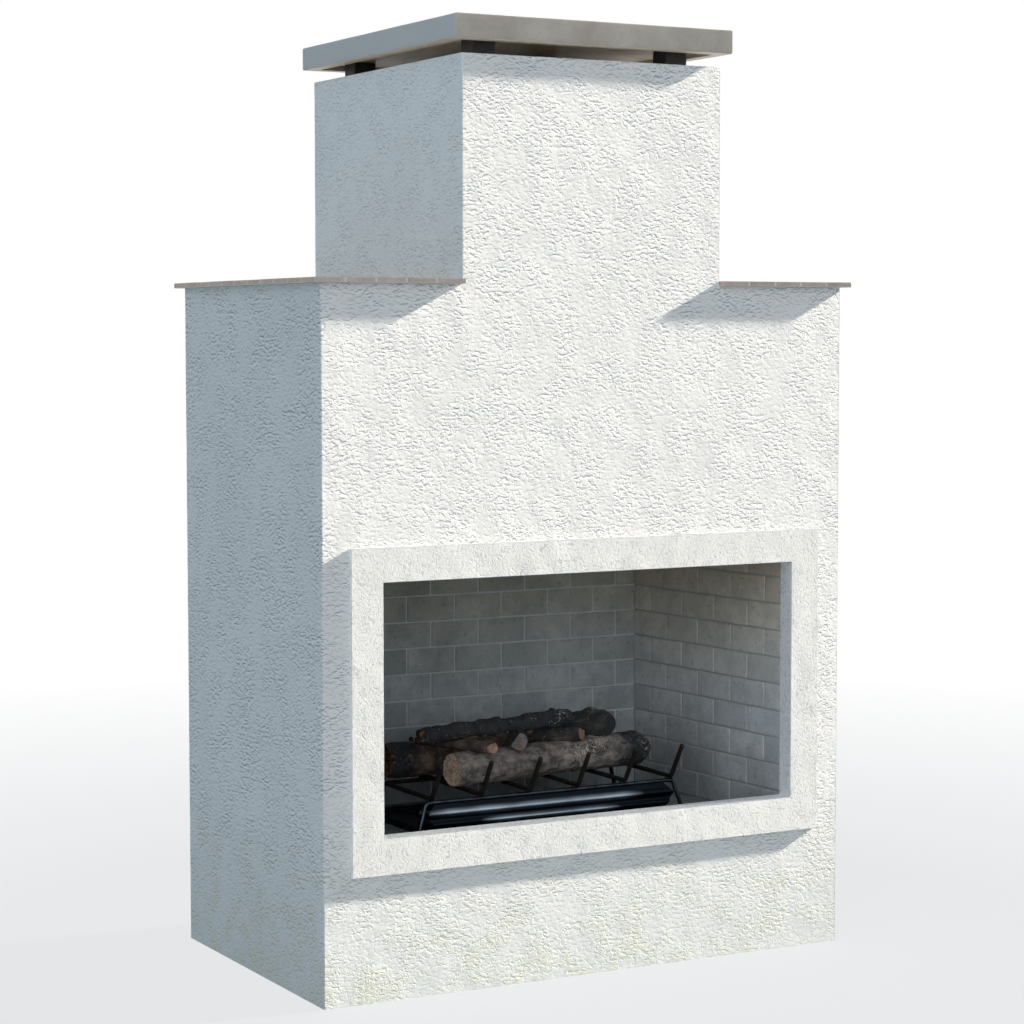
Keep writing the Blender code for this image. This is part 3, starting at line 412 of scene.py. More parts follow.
def cast_stone(context):
    """Cast stone, wet-cast and weathered: a mottled grey-brown face with pinholes and worn edges.

    Faces towards -X get a cool tint, painted shade for the side away from the key lamp. The underside is its
    own tan made pale, painted light for the light bounced into the gap under the cap, and has a low
    roughness.
    """
    look = context.scene.fireplace_masonry
    material, tree, shader, place = new_material("weathered cast stone", 0.85, specular=0.3)
    clouds = add(tree, "TexNoise", Vector=place, Scale=per_metre(0.09), Detail=8.0, Roughness=0.6)
    cloud_share = add(tree, "ValToRGB", clouds, stops=[(0.36, 0), (0.64, 1)])
    tone = add(tree, "Mix", cloud_share, look.cap_colour, look.cap_dark, data_type="RGBA")
    specks = add(tree, "TexNoise", Vector=place, Scale=per_metre(0.006), Detail=4.0, Roughness=0.75)
    speck_share = add(tree, "ValToRGB", specks, stops=[(0.32, 0.25), (0.44, 0), (0.62, 0), (0.76, 0.2)])
    face = add(tree, "Mix", speck_share, tone, linear("6A655E"), data_type="RGBA")
    facing = add(tree, "SeparateXYZ", add(tree, "NewGeometry").outputs["Normal"]).outputs
    # Faces towards -X take a cool tint: painted shade
    shade_side_share = add(tree, "MapRange", facing["X"], -0.9, -0.6, 0.9, 0.0)
    shade_sided = add(tree, "Mix", shade_side_share, face, look.cap_shade_side_colour, data_type="RGBA")
    # The underside takes a pale tan: painted light for the light bounced into the gap under the cap
    under = add(tree, "MapRange", facing["Z"], -0.9, -0.6, 1.0, 0.0)
    lit_underside_face = add(tree, "Mix", under, shade_sided, look.underside_lit_colour, data_type="RGBA")
    smooth = add(tree, "MapRange", under, 0.0, 1.0, 0.85, 0.36)
    holes = add(tree, "TexVoronoi", Vector=place, Scale=per_metre(0.017))
    hole_depth = add(tree, "MapRange", holes, 0.02, 0.09, -0.7, 0.0)
    relief = add(tree, "Math", specks, hole_depth, operation="ADD")
    bump = add(tree, "Bump", Height=relief, Distance=0.001, Strength=0.8)
    feed(tree, shader, Base_Color=lit_underside_face, Roughness=smooth, Normal=bump)
    return material


def worn_metal(name, tint, wear_tint, roughness, spread, metallic, patch, depth):
    """Metal or painted metal: one tint that gives way to another in patches, duller where it is worn."""
    material, tree, shader, place = new_material(name, roughness, metallic)
    patches = add(tree, "TexNoise", Vector=place, Scale=per_metre(patch), Detail=6.0, Roughness=0.65)
    patch_share = add(tree, "ValToRGB", patches, stops=[(0.46, 0), (0.68, 1)])
    tone = add(tree, "Mix", patch_share, tint, wear_tint, data_type="RGBA")
    dull = add(tree, "MapRange", patches, 0.3, 0.7, roughness - spread, roughness + spread)
    scale = add(tree, "TexNoise", Vector=place, Scale=per_metre(0.3 * patch), Detail=5.0)
    bump = add(tree, "Bump", Height=scale, Distance=depth, Strength=0.7)
    feed(tree, shader, Base_Color=tone, Roughness=dull, Normal=bump)
    return material


def crested_steel(context):
    """Blued steel strip: nearly black, with its pressed crests rubbed to a lighter blue-grey, which is also a
    painted highlight along the stretches where the highlights fall.

    The mesh gives "crest", which is 1 along the top of a pressed ridge, faded out past the ends of its
    painted highlight.
    """
    material, tree, shader, place = new_material("blued steel", 0.36, 1.0)
    crest = add(tree, "Attribute", attribute_name="crest").outputs["Fac"]
    rubs = add(tree, "TexNoise", Vector=place, Scale=per_metre(0.11), Detail=3.0)
    rub_share = add(tree, "Math", rubs, crest, operation="MULTIPLY")
    shine = add(tree, "MapRange", rub_share, 0.04, 0.55)
    tone = add(tree, "Mix", shine, context.scene.fireplace_iron.guard_colour, linear("9AA9B7"),
               data_type="RGBA")
    feed(tree, shader, Base_Color=tone)
    return material


def spangled_zinc(context):
    """Hot-dip galvanised steel: pale zinc in flat crystals about 9 mm across."""
    material, tree, shader, place = new_material("galvanised steel", 0.42, 1.0)
    crystals = add(tree, "TexVoronoi", Vector=place, Scale=per_metre(0.009))
    shade = add(tree, "SeparateColor", crystals.outputs["Color"]).outputs
    tone = add(tree, "Mix", shade["Red"], context.scene.fireplace_iron.zinc_colour, linear("8F9496"),
               data_type="RGBA")
    dull = add(tree, "MapRange", shade["Green"], 0.0, 1.0, 0.34, 0.52)
    feed(tree, shader, Base_Color=tone, Roughness=dull)
    return material


def pressed_board(name, tint, fleck_tint):
    """Cement or refractory board, pressed: a flat grey sheet with fine flecks."""
    material, tree, shader, place = new_material(name, 0.95, specular=0.2)
    flecks = add(tree, "TexNoise", Vector=place, Scale=per_metre(0.005), Detail=5.0, Roughness=0.75)
    fleck_share = add(tree, "ValToRGB", flecks, stops=[(0.5, 0), (0.7, 1)])
    tone = add(tree, "Mix", fleck_share, tint, fleck_tint, data_type="RGBA")
    bump = add(tree, "Bump", Height=flecks, Distance=0.0003, Strength=0.5)
    feed(tree, shader, Base_Color=tone, Normal=bump)
    return material


# What each point of a log says of itself, besides its place in the grain
MARKS = ("cut", "core", "burn", "lichen")


def burnt_log(context, name, bark_tint, char_share, ash_share, scorch_share, wood_share, wood_tint):
    """Moulded ceramic, painted as a half-burnt log: furrowed bark, curls and flecks of ash, char, and pale
    end wood.

    The mesh gives "grain", a place with the log's length shortened to a quarter, "cut", which is 1 on
    the end wood, "core", the distance from the heart there, "burn", which is 1 at a burnt end, and
    "lichen", which is 1 where ash and lichen cling.
    """
    look = context.scene.fireplace_logs
    material, tree, shader, place = new_material(name, 0.88, specular=0.3)
    grain = add(tree, "Attribute", attribute_name="grain").outputs["Vector"]
    cut, core, burn, lichen = [add(tree, "Attribute", attribute_name=mark).outputs["Fac"] for mark in MARKS]
    # Bark in plates, worn dark in places
    plates = add(tree, "TexNoise", Vector=grain, Scale=per_metre(look.bark_width), Detail=5.0, Roughness=0.6,
                 Distortion=0.4)
    ridges = add(tree, "ValToRGB", plates, stops=[(0.3, look.furrow_colour), (0.43, dim(bark_tint, 0.75)),
                                                 (0.6, bark_tint), (0.75, dim(bark_tint, 1.25))])
    worn = add(tree, "TexNoise", Vector=place, Scale=per_metre(0.028), Detail=6.0, Roughness=0.65)
    worn_share = add(tree, "MapRange", worn, 0.4, 0.62, 0.0, 0.74)
    bark = add(tree, "Mix", worn_share, ridges, look.furrow_colour, data_type="RGBA")
    # Char, cracked into blocks across the grain: the cracks near black, painted shade in the gaps, and the
    # blocks lighter and darker at random, partly a painted sheen
    black = add(tree, "TexNoise", Vector=place, Scale=per_metre(0.05), Detail=4.0)
    black_share = add(tree, "Math", black, burn, operation="ADD")
    black_edge = add(tree, "MapRange", black_share, 0.82 - char_share, 1.02 - char_share)
    bent = add(tree, "TexNoise", Vector=place, Scale=per_metre(0.02), Detail=3.0)
    squeezed = add(tree, "VectorMath", place, (1.0, 0.45, 0.45), operation="MULTIPLY")
    shaken = add(tree, "VectorMath", bent.outputs["Color"], (0.02, 0.02, 0.02), squeezed,
                 operation="MULTIPLY_ADD")
    cracks = add(tree, "TexVoronoi", Vector=shaken, Scale=per_metre(0.016), feature="DISTANCE_TO_EDGE")
    healed = add(tree, "Math", worn_share, 0.12, cracks, operation="MULTIPLY_ADD")
    crack_share = add(tree, "MapRange", healed, 0.0, 0.09)
    sheen = add(tree, "Mix", bent, dim(look.char_colour, 0.35), dim(look.char_colour, 1.7), data_type="RGBA")
    blocks = add(tree, "Mix", crack_share, grey(0.002), sheen, data_type="RGBA")
    charred = add(tree, "Mix", black_edge, bark, blocks, data_type="RGBA")
    block_height = add(tree, "Math", crack_share, black_edge, operation="MULTIPLY")
    height = add(tree, "Math", plates, block_height, operation="ADD")
    # Ash and lichen, in curls and flecks
    spots = add(tree, "TexNoise", Vector=place, Scale=per_metre(0.011), Detail=7.0, Roughness=0.68,
                Distortion=1.5)
    curls = add(tree, "TexNoise", Vector=place, Scale=per_metre(0.022), Detail=1.5, Roughness=0.6,
                Distortion=1.6)
    veins = add(tree, "ValToRGB", curls, stops=[(0.455, 0), (0.48, 0.72), (0.5, 0.72), (0.525, 0)])
    fields = add(tree, "TexNoise", Vector=place, Scale=per_metre(0.07), Detail=2.0)
    field_share = add(tree, "MapRange", fields, 0.66 - 0.2 * ash_share, 0.76 - 0.2 * ash_share)
    grown = add(tree, "Math", field_share, lichen, operation="MAXIMUM")
    vein_share = add(tree, "Math", veins, grown, operation="MULTIPLY")
    flecks = add(tree, "MapRange", spots, 0.62, 0.68, 0.0, 0.6)
    pale_share = add(tree, "Math", vein_share, flecks, operation="MAXIMUM")
    ashen = add(tree, "Mix", pale_share, charred, look.ash_colour, data_type="RGBA")
    glow = add(tree, "TexNoise", Vector=place, Scale=per_metre(0.016), Detail=4.0)
    glow_share = add(tree, "Math", glow, burn, operation="MULTIPLY")
    glow_edge = add(tree, "MapRange", glow_share, 0.46, 0.6, 0.0, scorch_share)
    scorched = add(tree, "Mix", glow_edge, ashen, look.rust_colour, data_type="RGBA")
    # End wood with rings 4.8 mm apart, wider than real ones so that they show
    wobble = add(tree, "Math", black, 0.012, core, operation="MULTIPLY_ADD")
    rings = add(tree, "Math", wobble, 2 * math.pi / 0.0048, operation="MULTIPLY")
    wave = add(tree, "Math", rings, operation="SINE")
    ring_share = add(tree, "MapRange", wave, -1.0, 1.0, 0.15, 0.75)
    wood = add(tree, "Mix", ring_share, wood_tint, dim(wood_tint, 0.5), data_type="RGBA")
    dirt = add(tree, "MapRange", spots, 0.42, 0.62, 0.0, 1.5 - wood_share)
    dull_wood = add(tree, "Mix", dirt, wood, linear("3A312B"), data_type="RGBA")
    singe = add(tree, "MapRange", glow, 0.5, 0.62, 0.0, scorch_share)
    singed_wood = add(tree, "Mix", singe, dull_wood, look.rust_colour, data_type="RGBA")
    face = add(tree, "Mix", cut, scorched, singed_wood, data_type="RGBA")
    bump = add(tree, "Bump", Height=height, Distance=0.0022, Strength=0.9)
    crumbs = add(tree, "Bump", Height=spots, Distance=0.0008, Strength=0.6, Normal=bump)
    feed(tree, shader, Base_Color=face, Normal=crumbs)
    return material


# Mesh tools

def wander(place, size, shift=0.0):
    """Smooth noise between about -1 and 1 whose lumps are this many metres apart."""
    return noise.noise((place + Vector((shift, shift * 0.7, -shift))) / size)


def face_out(bm, corners, outward):
    """A face whose normal points along outward."""
    made = bm.faces.new(corners)
    made.normal_update()
    if made.normal.dot(outward) < 0:
        made.normal_flip()


def spaced(low, high, cell, arris, breaks=()):
    """Grid lines from low to high, close together at the ends and through each of the breaks."""
    fixed = sorted({low, high, low + arris, high - arris, *(place for place in breaks if low < place < high)})
    lines = []
    for start, end in zip(fixed, fixed[1:]):
        steps = max(1, round((end - start) / cell))
        lines.extend(start + (end - start) * step / steps for step in range(steps))
    return lines + [high]


def worn_box(bm, low, high, cell, arris, wear, seed=0.0, matrix=None, breaks=((), (), ())):
    """A box with rounded, worn edges, as a grid of quads with lines through each of the breaks."""
    lows, highs = Vector(low), Vector(high)
    lines = [spaced(lows[axis], highs[axis], cell, arris, breaks[axis]) for axis in range(3)]
    counts = [len(line) for line in lines]
    corners = {}

    def corner(index):
        if index not in corners:
            place = Vector(lines[axis][index[axis]] for axis in range(3))
            inner = Vector(min(max(place[axis], lows[axis] + arris), highs[axis] - arris)
                           for axis in range(3))
            out = place - inner
            edges = sum(1 for value in out if abs(value) > 0)
            if out.length > 0:
                place = inner + out.normalized() * arris
            rough = wear * wander(place, 6 * cell, seed) * 0.3
            if edges > 1:
                rough -= wear * max(0, 0.3 + wander(place, 1.7 * cell, seed + 5))
            place += out.normalized() * rough if out.length > 0 else Vector()
            corners[index] = bm.verts.new(matrix @ place if matrix else place)
        return corners[index]

    for axis in range(3):
        first, second = [other for other in range(3) if other != axis]
        for end, sign in ((0, -1), (counts[axis] - 1, 1)):
            outward = Vector((0, 0, 0))
            outward[axis] = sign
            if matrix:
                outward = matrix.to_3x3() @ outward
            for i in range(counts[first] - 1):
                for j in range(counts[second] - 1):
                    quad = []
                    for step_i, step_j in ((0, 0), (1, 0), (1, 1), (0, 1)):
                        index = [0, 0, 0]
                        index[axis], index[first], index[second] = end, i + step_i, j + step_j
                        quad.append(corner(tuple(index)))
                    face_out(bm, quad, outward)


def box_mesh(*given, **named):
    """A new mesh that holds one worn box."""
    bm = bmesh.new()
    worn_box(bm, *given, **named)
    return bm


def join_rings(bm, rings):
    """Faces between each ring of points and the next."""
    for ring, after in zip(rings, rings[1:]):
        for step in range(len(ring)):
            beside = (step + 1) % len(ring)
            bm.faces.new((ring[step], ring[beside], after[beside], after[step]))


def finish_piece(name, bm, material, nodes=(), body=ROOT, sharp=40, flat=False, wall=0.0):
    """Turn a bmesh into a shown piece that rides on a body and stands for its solids.

    A wall thickens a sheet, whose rim keeps a sharp edge.
    """
    mesh = bpy.data.meshes.new(name)
    bm.edges.index_update()
    rim = [edge.index for edge in bm.edges if wall and edge.is_boundary]
    bm.to_mesh(mesh)
    bm.free()
    mesh.shade_smooth()
    mesh.set_sharp_from_angle(angle=math.radians(sharp))
    for number in rim:
        mesh.edges[number].use_edge_sharp = True
    mesh.materials.append(material)
    piece = bpy.data.objects.new(name, mesh)
    bpy.context.scene.collection.objects.link(piece)
    if wall:
        sheet = piece.modifiers.new("wall", "SOLIDIFY")
        sheet.thickness = wall
        sheet.offset = -1
    if flat:
        piece.modifiers.new("even shading", "WEIGHTED_NORMAL").keep_sharp = True
    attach(piece, body)
    if nodes:
        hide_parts(*nodes)


def paint(material, *nodes):
    """Give CAD nodes that stay in view a finish."""
    for node in nodes:
        solid = frame["nodes"][node]
        if not solid.material_slots:
            solid.data.materials.append(material)
        for slot in solid.material_slots:
            slot.link = "OBJECT"
            slot.material = material


class FIREPLACE_OT_stucco(bpy.types.Operator):
    """Sprayed coat that wraps the body and the chimney without a seam"""

    bl_idname = "fireplace.stucco"
    bl_label = "Stucco coat"

    def execute(self, context):
        look = context.scene.fireplace_stucco
        front_low, front_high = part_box("stucco_front")
        wide, deep, top = front_high.x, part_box("stucco_back")[1].y, front_high.z
        neck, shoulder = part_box("stucco_chimney_right")[1].x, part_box("stucco_right")[1].z
        # The hole that the surround's lining fills
        hole_half, hole_low, hole_high = 0.4944, 0.3147, 0.8443
        arris = look.arris
        swell, ripple, swell_share = 0.055, 0.021, 0.65
        xs = spaced(-wide, wide, look.cell, arris,
                    (-neck, neck, arris - neck, neck - arris, -hole_half, hole_half))
        ys = spaced(-deep, deep, look.cell, arris)
        zs = spaced(0, top, look.cell, arris, (shoulder, hole_low, hole_high))
        coats = {"front": bmesh.new(), "sides": bmesh.new()}
        corners = {}

        def corner(part, x, y, z):
            key = (part, round(x, 5), round(y, 5), round(z, 5))
            if key not in corners:
                reach = wide if z <= shoulder + 1e-6 else neck
                flat = Vector((x, y))
                inner = Vector((min(max(x, arris - reach), reach - arris),
                                min(max(y, arris - deep), deep - arris)))
                out = flat - inner
                if out.length > 0:
                    if out.x and out.y:
                        flat = inner + out.normalized() * arris
                    place = Vector((x, y, z))
                    lump = swell_share * wander(place, swell) + (1 - swell_share) * wander(place, ripple, 3)
                    flat += out.normalized() * lump * look.waviness
                corners[key] = coats[part].verts.new((flat.x, flat.y, z))
            return corners[key]

        def sheet(points, outward, part="sides"):
            face_out(coats[part], [corner(part, *point) for point in points], outward)

        for z0, z1 in zip(zs, zs[1:]):
            middle = (z0 + z1) / 2
            reach = wide if middle < shoulder else neck
            for x0, x1 in zip(xs, xs[1:]):
                across = abs(x0 + x1) / 2
                if across > reach:
                    continue
                for y, outward in ((-deep, Vector((0, -1, 0))), (deep, Vector((0, 1, 0)))):
                    if y < 0 and across < hole_half and hole_low < middle < hole_high:
                        continue
                    part = "front" if y < 0 and across < reach - arris else "sides"
                    sheet([(x0, y, z0), (x1, y, z0), (x1, y, z1), (x0, y, z1)], outward, part)
            for y0, y1 in zip(ys, ys[1:]):
                for x, outward in ((-reach, Vector((-1, 0, 0))), (reach, Vector((1, 0, 0)))):
                    sheet([(x, y0, z0), (x, y1, z0), (x, y1, z1), (x, y0, z1)], outward)
        sunny = sprayed_stucco(context, "sprayed cement stucco", look.coat_colour, look.crease_shade_colour,
                               calm=1.25, shade=1.0)
        # This second copy, cooler, darker below the shoulders and with darker edges, is painted shade for the
        # sides
        shaded = sprayed_stucco(context, "sprayed cement stucco, weathered sides", look.shaded_side_colour,
                                look.side_crease_shade_colour, calm=0.5, shade=0.88)
        for part, finish, nodes in (("front", sunny, ("stucco_front",)),
                                    ("sides", shaded, ("stucco_back", "stucco_left", "stucco_right",
                                                       "stucco_chimney_left", "stucco_chimney_right"))):
            finish_piece(f"stucco_coat_{part}", coats[part], finish, nodes, flat=True,
                         wall=front_high.y - front_low.y)
        return {"FINISHED"}


class FIREPLACE_OT_surround(bpy.types.Operator):
    """Raised band round the opening, returned into the wall as a lining"""

    bl_idname = "fireplace.surround"
    bl_label = "Opening surround"

    def execute(self, context):
        look = context.scene.fireplace_stucco
        low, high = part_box("opening_surround")
        half, bottom, top = 0.482, 0.327, 0.832
        face, wall, inner = low.y, -0.3503, high.y
        band_width = 0.0695
        lining = 0.012 / band_width
        across, upward = 92, 46
        arris = look.surround_arris
        edge = arris / band_width
        deep_line, near_line = 0.03, 0.012
        waver, waver_size = 0.0005, 0.04
        # The band's section: a share of its width, outwards from the opening, and a depth
        profile = [(0, inner), (0, face + deep_line), (0, face + near_line), (0, face + arris),
                   (0.3 * edge, face + 0.3 * arris), (edge, face)]
        profile += [(edge + (1 - 2 * edge) * step / 6, face) for step in range(1, 7)]
        profile += [(1 - 0.3 * edge, face + 0.3 * arris), (1, face + arris), (1, wall), (lining, wall),
                    (lining, inner)]
        bm = bmesh.new()
        for band, y in profile:
            left = half + band * (high.x - half)
            base = bottom - band * (bottom - low.z)
            crown = top + band * (high.z - top)
            ring = [(-left + 2 * left * step / across, base) for step in range(across)]
            ring += [(left, base + (crown - base) * step / upward) for step in range(upward)]
            ring += [(left - 2 * left * step / across, crown) for step in range(across)]
            ring += [(-left, crown - (crown - base) * step / upward) for step in range(upward)]
            shown = face - 1e-6 <= y < wall
            for x, z in ring:
                lump = waver * wander(Vector((x, y, z)), waver_size) if shown else 0
                bm.verts.new((x, y + lump, z))
        count = 2 * (across + upward)
        flat_part = bm.copy()
        plain = floated_stucco(context, "floated cement stucco", look.surround_colour, 0.6)
        # The returns get a whiter copy of the coat: painted light that offsets the shade inside the opening
        lightened_returns = floated_stucco(context, "floated cement stucco, sheltered", WHITE, 0.85)
        for part, name, nodes, finish in ((bm, "surround_returns", ("opening_surround",), lightened_returns),
                                          (flat_part, "surround_face", (), plain)):
            part.verts.ensure_lookup_table()
            for line, (_, y) in enumerate(profile):
                after = (line + 1) % len(profile)
                if (y == face and profile[after][1] == face) != (part is flat_part):
                    continue
                for place in range(count):
                    beside = (place + 1) % count
                    part.faces.new([part.verts[ring * count + point] for ring, point in
                                    ((line, place), (line, beside), (after, beside), (after, place))])
            bmesh.ops.delete(part, geom=[vert for vert in part.verts if not vert.link_faces], context="VERTS")
            bmesh.ops.recalc_face_normals(part, faces=part.faces)
            finish_piece(name, part, finish, nodes, flat=True)
        return {"FINISHED"}


class FIREPLACE_OT_ledges(bpy.types.Operator):
    """Stone tiles and their grout on the two shoulders"""

    bl_idname = "fireplace.ledges"
    bl_label = "Ledge tiles"

    def execute(self, context):
        look = context.scene.fireplace_masonry
        tile = stone_tile(context)
        grout = sandy_joint("sanded grout", look.grout_colour, size=0.002, depth=0.0003)
        columns, rows, joint, cell = 5, 11, 0.003, 0.02
        tilt, sink, tile_wear = 0.0022, 0.0004, 0.0003
        bed_rise, groove, inset, bed_arris = 0.001, 0.001, 0.0002, 0.0003
        draw = random.Random(11)
        for side in ("left", "right"):
            low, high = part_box(f"ledge_tiles_{side}")
            bm = bmesh.new()
            pitch_x = (high.x - low.x + joint) / columns
            pitch_y = (high.y - low.y + joint) / rows
            for column in range(columns):
                for row in range(rows):
                    x, y = low.x + column * pitch_x, low.y + row * pitch_y
                    middle = Vector((x + pitch_x / 2, y + pitch_y / 2, high.z))
                    turn = Euler([draw.uniform(-tilt, tilt) for _ in range(3)]).to_matrix().to_4x4()
                    lift = Vector((0, 0, draw.uniform(-sink, 0)))
                    matrix = Matrix.Translation(middle + lift) @ turn @ Matrix.Translation(-middle)
                    worn_box(bm, (x, y, low.z + bed_rise), (x + pitch_x - joint, y + pitch_y - joint, high.z),
                             cell, look.tile_arris, tile_wear, draw.random() * 50, matrix)
            finish_piece(f"ledge_tile_field_{side}", bm, tile,
                         (f"ledge_tiles_{side}",), flat=True)
            bed = box_mesh((low.x + inset, low.y + inset, low.z),
                           (high.x - inset, high.y - inset, high.z - groove), cell, bed_arris, 0.0)
            finish_piece(f"ledge_grout_{side}", bed, grout)
        return {"FINISHED"}


class FIREPLACE_OT_cap(bpy.types.Operator):
    """Cap slab, its four spacer blocks and the cover of the chimney"""

    bl_idname = "fireplace.cap"
    bl_label = "Chimney cap"

    def execute(self, context):
        look = context.scene.fireplace_masonry
        iron = context.scene.fireplace_iron
        low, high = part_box("cap_slab")
        rim_x, rim_y = high.x - look.cap_rim, high.y - look.cap_rim
        bm = box_mesh(low, high, look.cap_cell, look.cap_arris, look.cap_wear, 2.0,
                      breaks=((-rim_x, rim_x), (-rim_y, rim_y), ()))
        bm.normal_update()
        inside = [face for face in bm.faces if face.normal.z < -0.9
                  and abs(face.calc_center_median().x) < rim_x and abs(face.calc_center_median().y) < rim_y]
        bmesh.ops.delete(bm, geom=inside, context="FACES")
        walls = bmesh.ops.extrude_edge_only(bm, edges=[edge for edge in bm.edges if edge.is_boundary])["geom"]
        for corner in walls:
            if isinstance(corner, bmesh.types.BMVert):
                corner.co.z = low.z + look.cap_recess
        bmesh.ops.contextual_create(bm, geom=[edge for edge in walls if isinstance(edge, bmesh.types.BMEdge)
                                              and edge.is_boundary])
        bmesh.ops.recalc_face_normals(bm, faces=bm.faces)
        finish_piece("cap_slab_worn", bm, cast_stone(context), ("cap_slab",), flat=True)
        black = worn_metal("black painted steel", iron.paint_colour, linear("343230"), roughness=0.5,
                           spread=0.12, metallic=0.0, patch=0.03, depth=0.0002)
        block_cell, block_arris, block_wear = 0.009, 0.0012, 0.0003
        for place in ("front_left", "front_right", "back_left", "back_right"):
            low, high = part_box(f"cap_post_{place}")
            block = box_mesh(low, high, block_cell, block_arris, block_wear, low.x)
            finish_piece(f"cap_block_{place}", block, black, (f"cap_post_{place}",),
                         flat=True)
        paint(pressed_board("cement skim", linear("FBF6EA"), linear("EDE6D8")), "chimney_cover")
        return {"FINISHED"}


class FIREPLACE_OT_bricks(bpy.types.Operator):
    """Brick walls of the firebox, the hearth bricks and the kerb"""

    bl_idname = "fireplace.bricks"
    bl_label = "Firebox bricks"

    course, pitch, joint = 0.0579, 0.1195, 0.0035
    courses, smallest, skin = 10, 0.012, 0.014
    # Mortar beds: depth of the joints, depth of the bed, its lap at the corners and its inset elsewhere
    groove, bed_depth, lap, inset = 0.0028, 0.03, 0.005, 0.001
    bed_cell, bed_arris, bed_wear, hearth_bed_cell, hearth_bed_wear = 0.03, 0.0008, 0.0004, 0.05, 0.0003
    # Bricks: how far one may sit back or up, and the size of its mesh cells
    sink, shuffle, brick_cell, hearth_sink, hearth_cell = 0.0006, 0.0003, 0.022, 0.0007, 0.03

    def execute(self, context):
        look = context.scene.fireplace_masonry
        flames = {"flame_place": (0.0, 0.05, 0.25), "flame_reach": 0.22}
        side_flames = {"flame_place": (0.44, 0.04, 0.27), "flame_reach": 0.1}
        wall_brick = fired_brick(context, "pressed firebrick", look.brick_pale, look.brick_mid,
                                 look.brick_dark, smoke_soot=0.35, flame_soot=0.3, **flames)
        # Hearth bricks and joints: darker and bluer than the walls' bricks
        floor_brick = fired_brick(context, "sooty hearth brick", look.floor_pale, look.floor_mid,
                                  look.floor_dark, smoke_soot=0.35, flame_soot=0.2, **flames)
        # Paler copy of the firebrick for the side walls: painted light
        side_brick_lit = fired_brick(context, "pale firebrick", look.side_pale_lit, look.side_mid_lit,
                                 look.side_dark_lit, smoke_soot=0.2, flame_soot=0.6, **side_flames)
        mortar, side_mortar, floor_mortar = [
            sandy_joint(name, tint, size=0.003, depth=0.0008) for name, tint in
            (("refractory mortar", look.mortar_colour), ("grey mortar", look.side_mortar_colour),
             ("sooty mortar", look.floor_mortar_colour))]
        stand, opening_half, back, back_half, depth, gap = 0.2759, 0.482, 0.218, 0.4432, 0.537, 0.0003
        splay = math.atan(0.0385 / depth)
        side_length = (depth - 2 * gap) / math.cos(splay)
        corner_x = opening_half - math.tan(splay) * (depth - gap)
        # Each wall: its length, the first joints of its courses, and the place and turn of its corner
        side_joints = (self.pitch / 2 + 0.007, self.pitch + 0.007)
        back_joints = (self.pitch - 0.008, self.pitch / 2 - 0.008)
        draw = random.Random(7)
        for name, reach, joints, outward, corner, turn in (
            ("back", 2 * back_half, back_joints, -1, (back_half, back, stand), math.pi),
            ("left", side_length, side_joints, -1, (-corner_x, back - gap, stand), -math.pi / 2 - splay),
            ("right", side_length, side_joints, 1, (corner_x, back - gap, stand), -math.pi / 2 + splay),
        ):
            matrix = Matrix.LocRotScale(Vector(corner), Euler((0, 0, turn)), None)
            brick, bed = (wall_brick, mortar) if name == "back" else (side_brick_lit, side_mortar)
            finish_piece(f"brick_wall_{name}", self.wall(look, draw, reach, joints, outward, matrix), brick,
                         (f"bricks_{name}",), flat=True)
            near, far = sorted((outward * self.groove, outward * self.bed_depth))
            past = self.lap if name == "back" else -self.inset
            crown = self.courses * self.course - self.joint - self.inset
            joints_mesh = box_mesh((-self.lap, near, self.inset), (reach + past, far, crown), self.bed_cell,
                                   self.bed_arris, self.bed_wear, 1.0, matrix)
            finish_piece(f"brick_mortar_{name}", joints_mesh, bed)
        low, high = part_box("hearth_bricks")
        finish_piece("hearth_brick_floor", self.floor(look, draw, low, high), floor_brick,
                     ("hearth_bricks",), flat=True)
        bed = box_mesh((low.x + self.inset, low.y + self.inset, low.z),
                       (high.x - self.inset, high.y - self.inset, high.z - self.groove),
                       self.hearth_bed_cell, self.bed_arris, self.hearth_bed_wear, 4.0)
        finish_piece("hearth_mortar", bed, floor_mortar)
        kerb = pressed_board("cast refractory kerb", linear("A19D95"), linear("7A766F"))
        kerb_cell, kerb_arris, kerb_wear = 0.012, 0.002, 0.0006
        stone = box_mesh(*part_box("hearth_kerb"), kerb_cell, kerb_arris, kerb_wear, 8.0)
        finish_piece("hearth_kerb_cast", stone, kerb, ("hearth_kerb",))
        return {"FINISHED"}

    def wall(self, look, draw, reach, joints, outward, matrix):
        """Courses of bricks in running bond, from the corner outwards."""
        bm = bmesh.new()
        for number in range(self.courses):
            start, joint_place = 0, joints[1 - number % 2]
            while start < reach:
                end = joint_place - self.joint if joint_place < reach - self.smallest else reach
                sunk = draw.uniform(0, self.sink)
                near, far = sorted((outward * sunk, outward * self.skin))
                bottom = number * self.course + draw.uniform(-self.shuffle, self.shuffle)
                worn_box(bm, (start, near, bottom), (end, far, bottom + self.course - self.joint),
                         self.brick_cell, look.brick_arris, look.brick_wear, draw.random() * 60, matrix)
                if end == reach:
                    break
                start, joint_place = joint_place, joint_place + self.pitch
        return bm

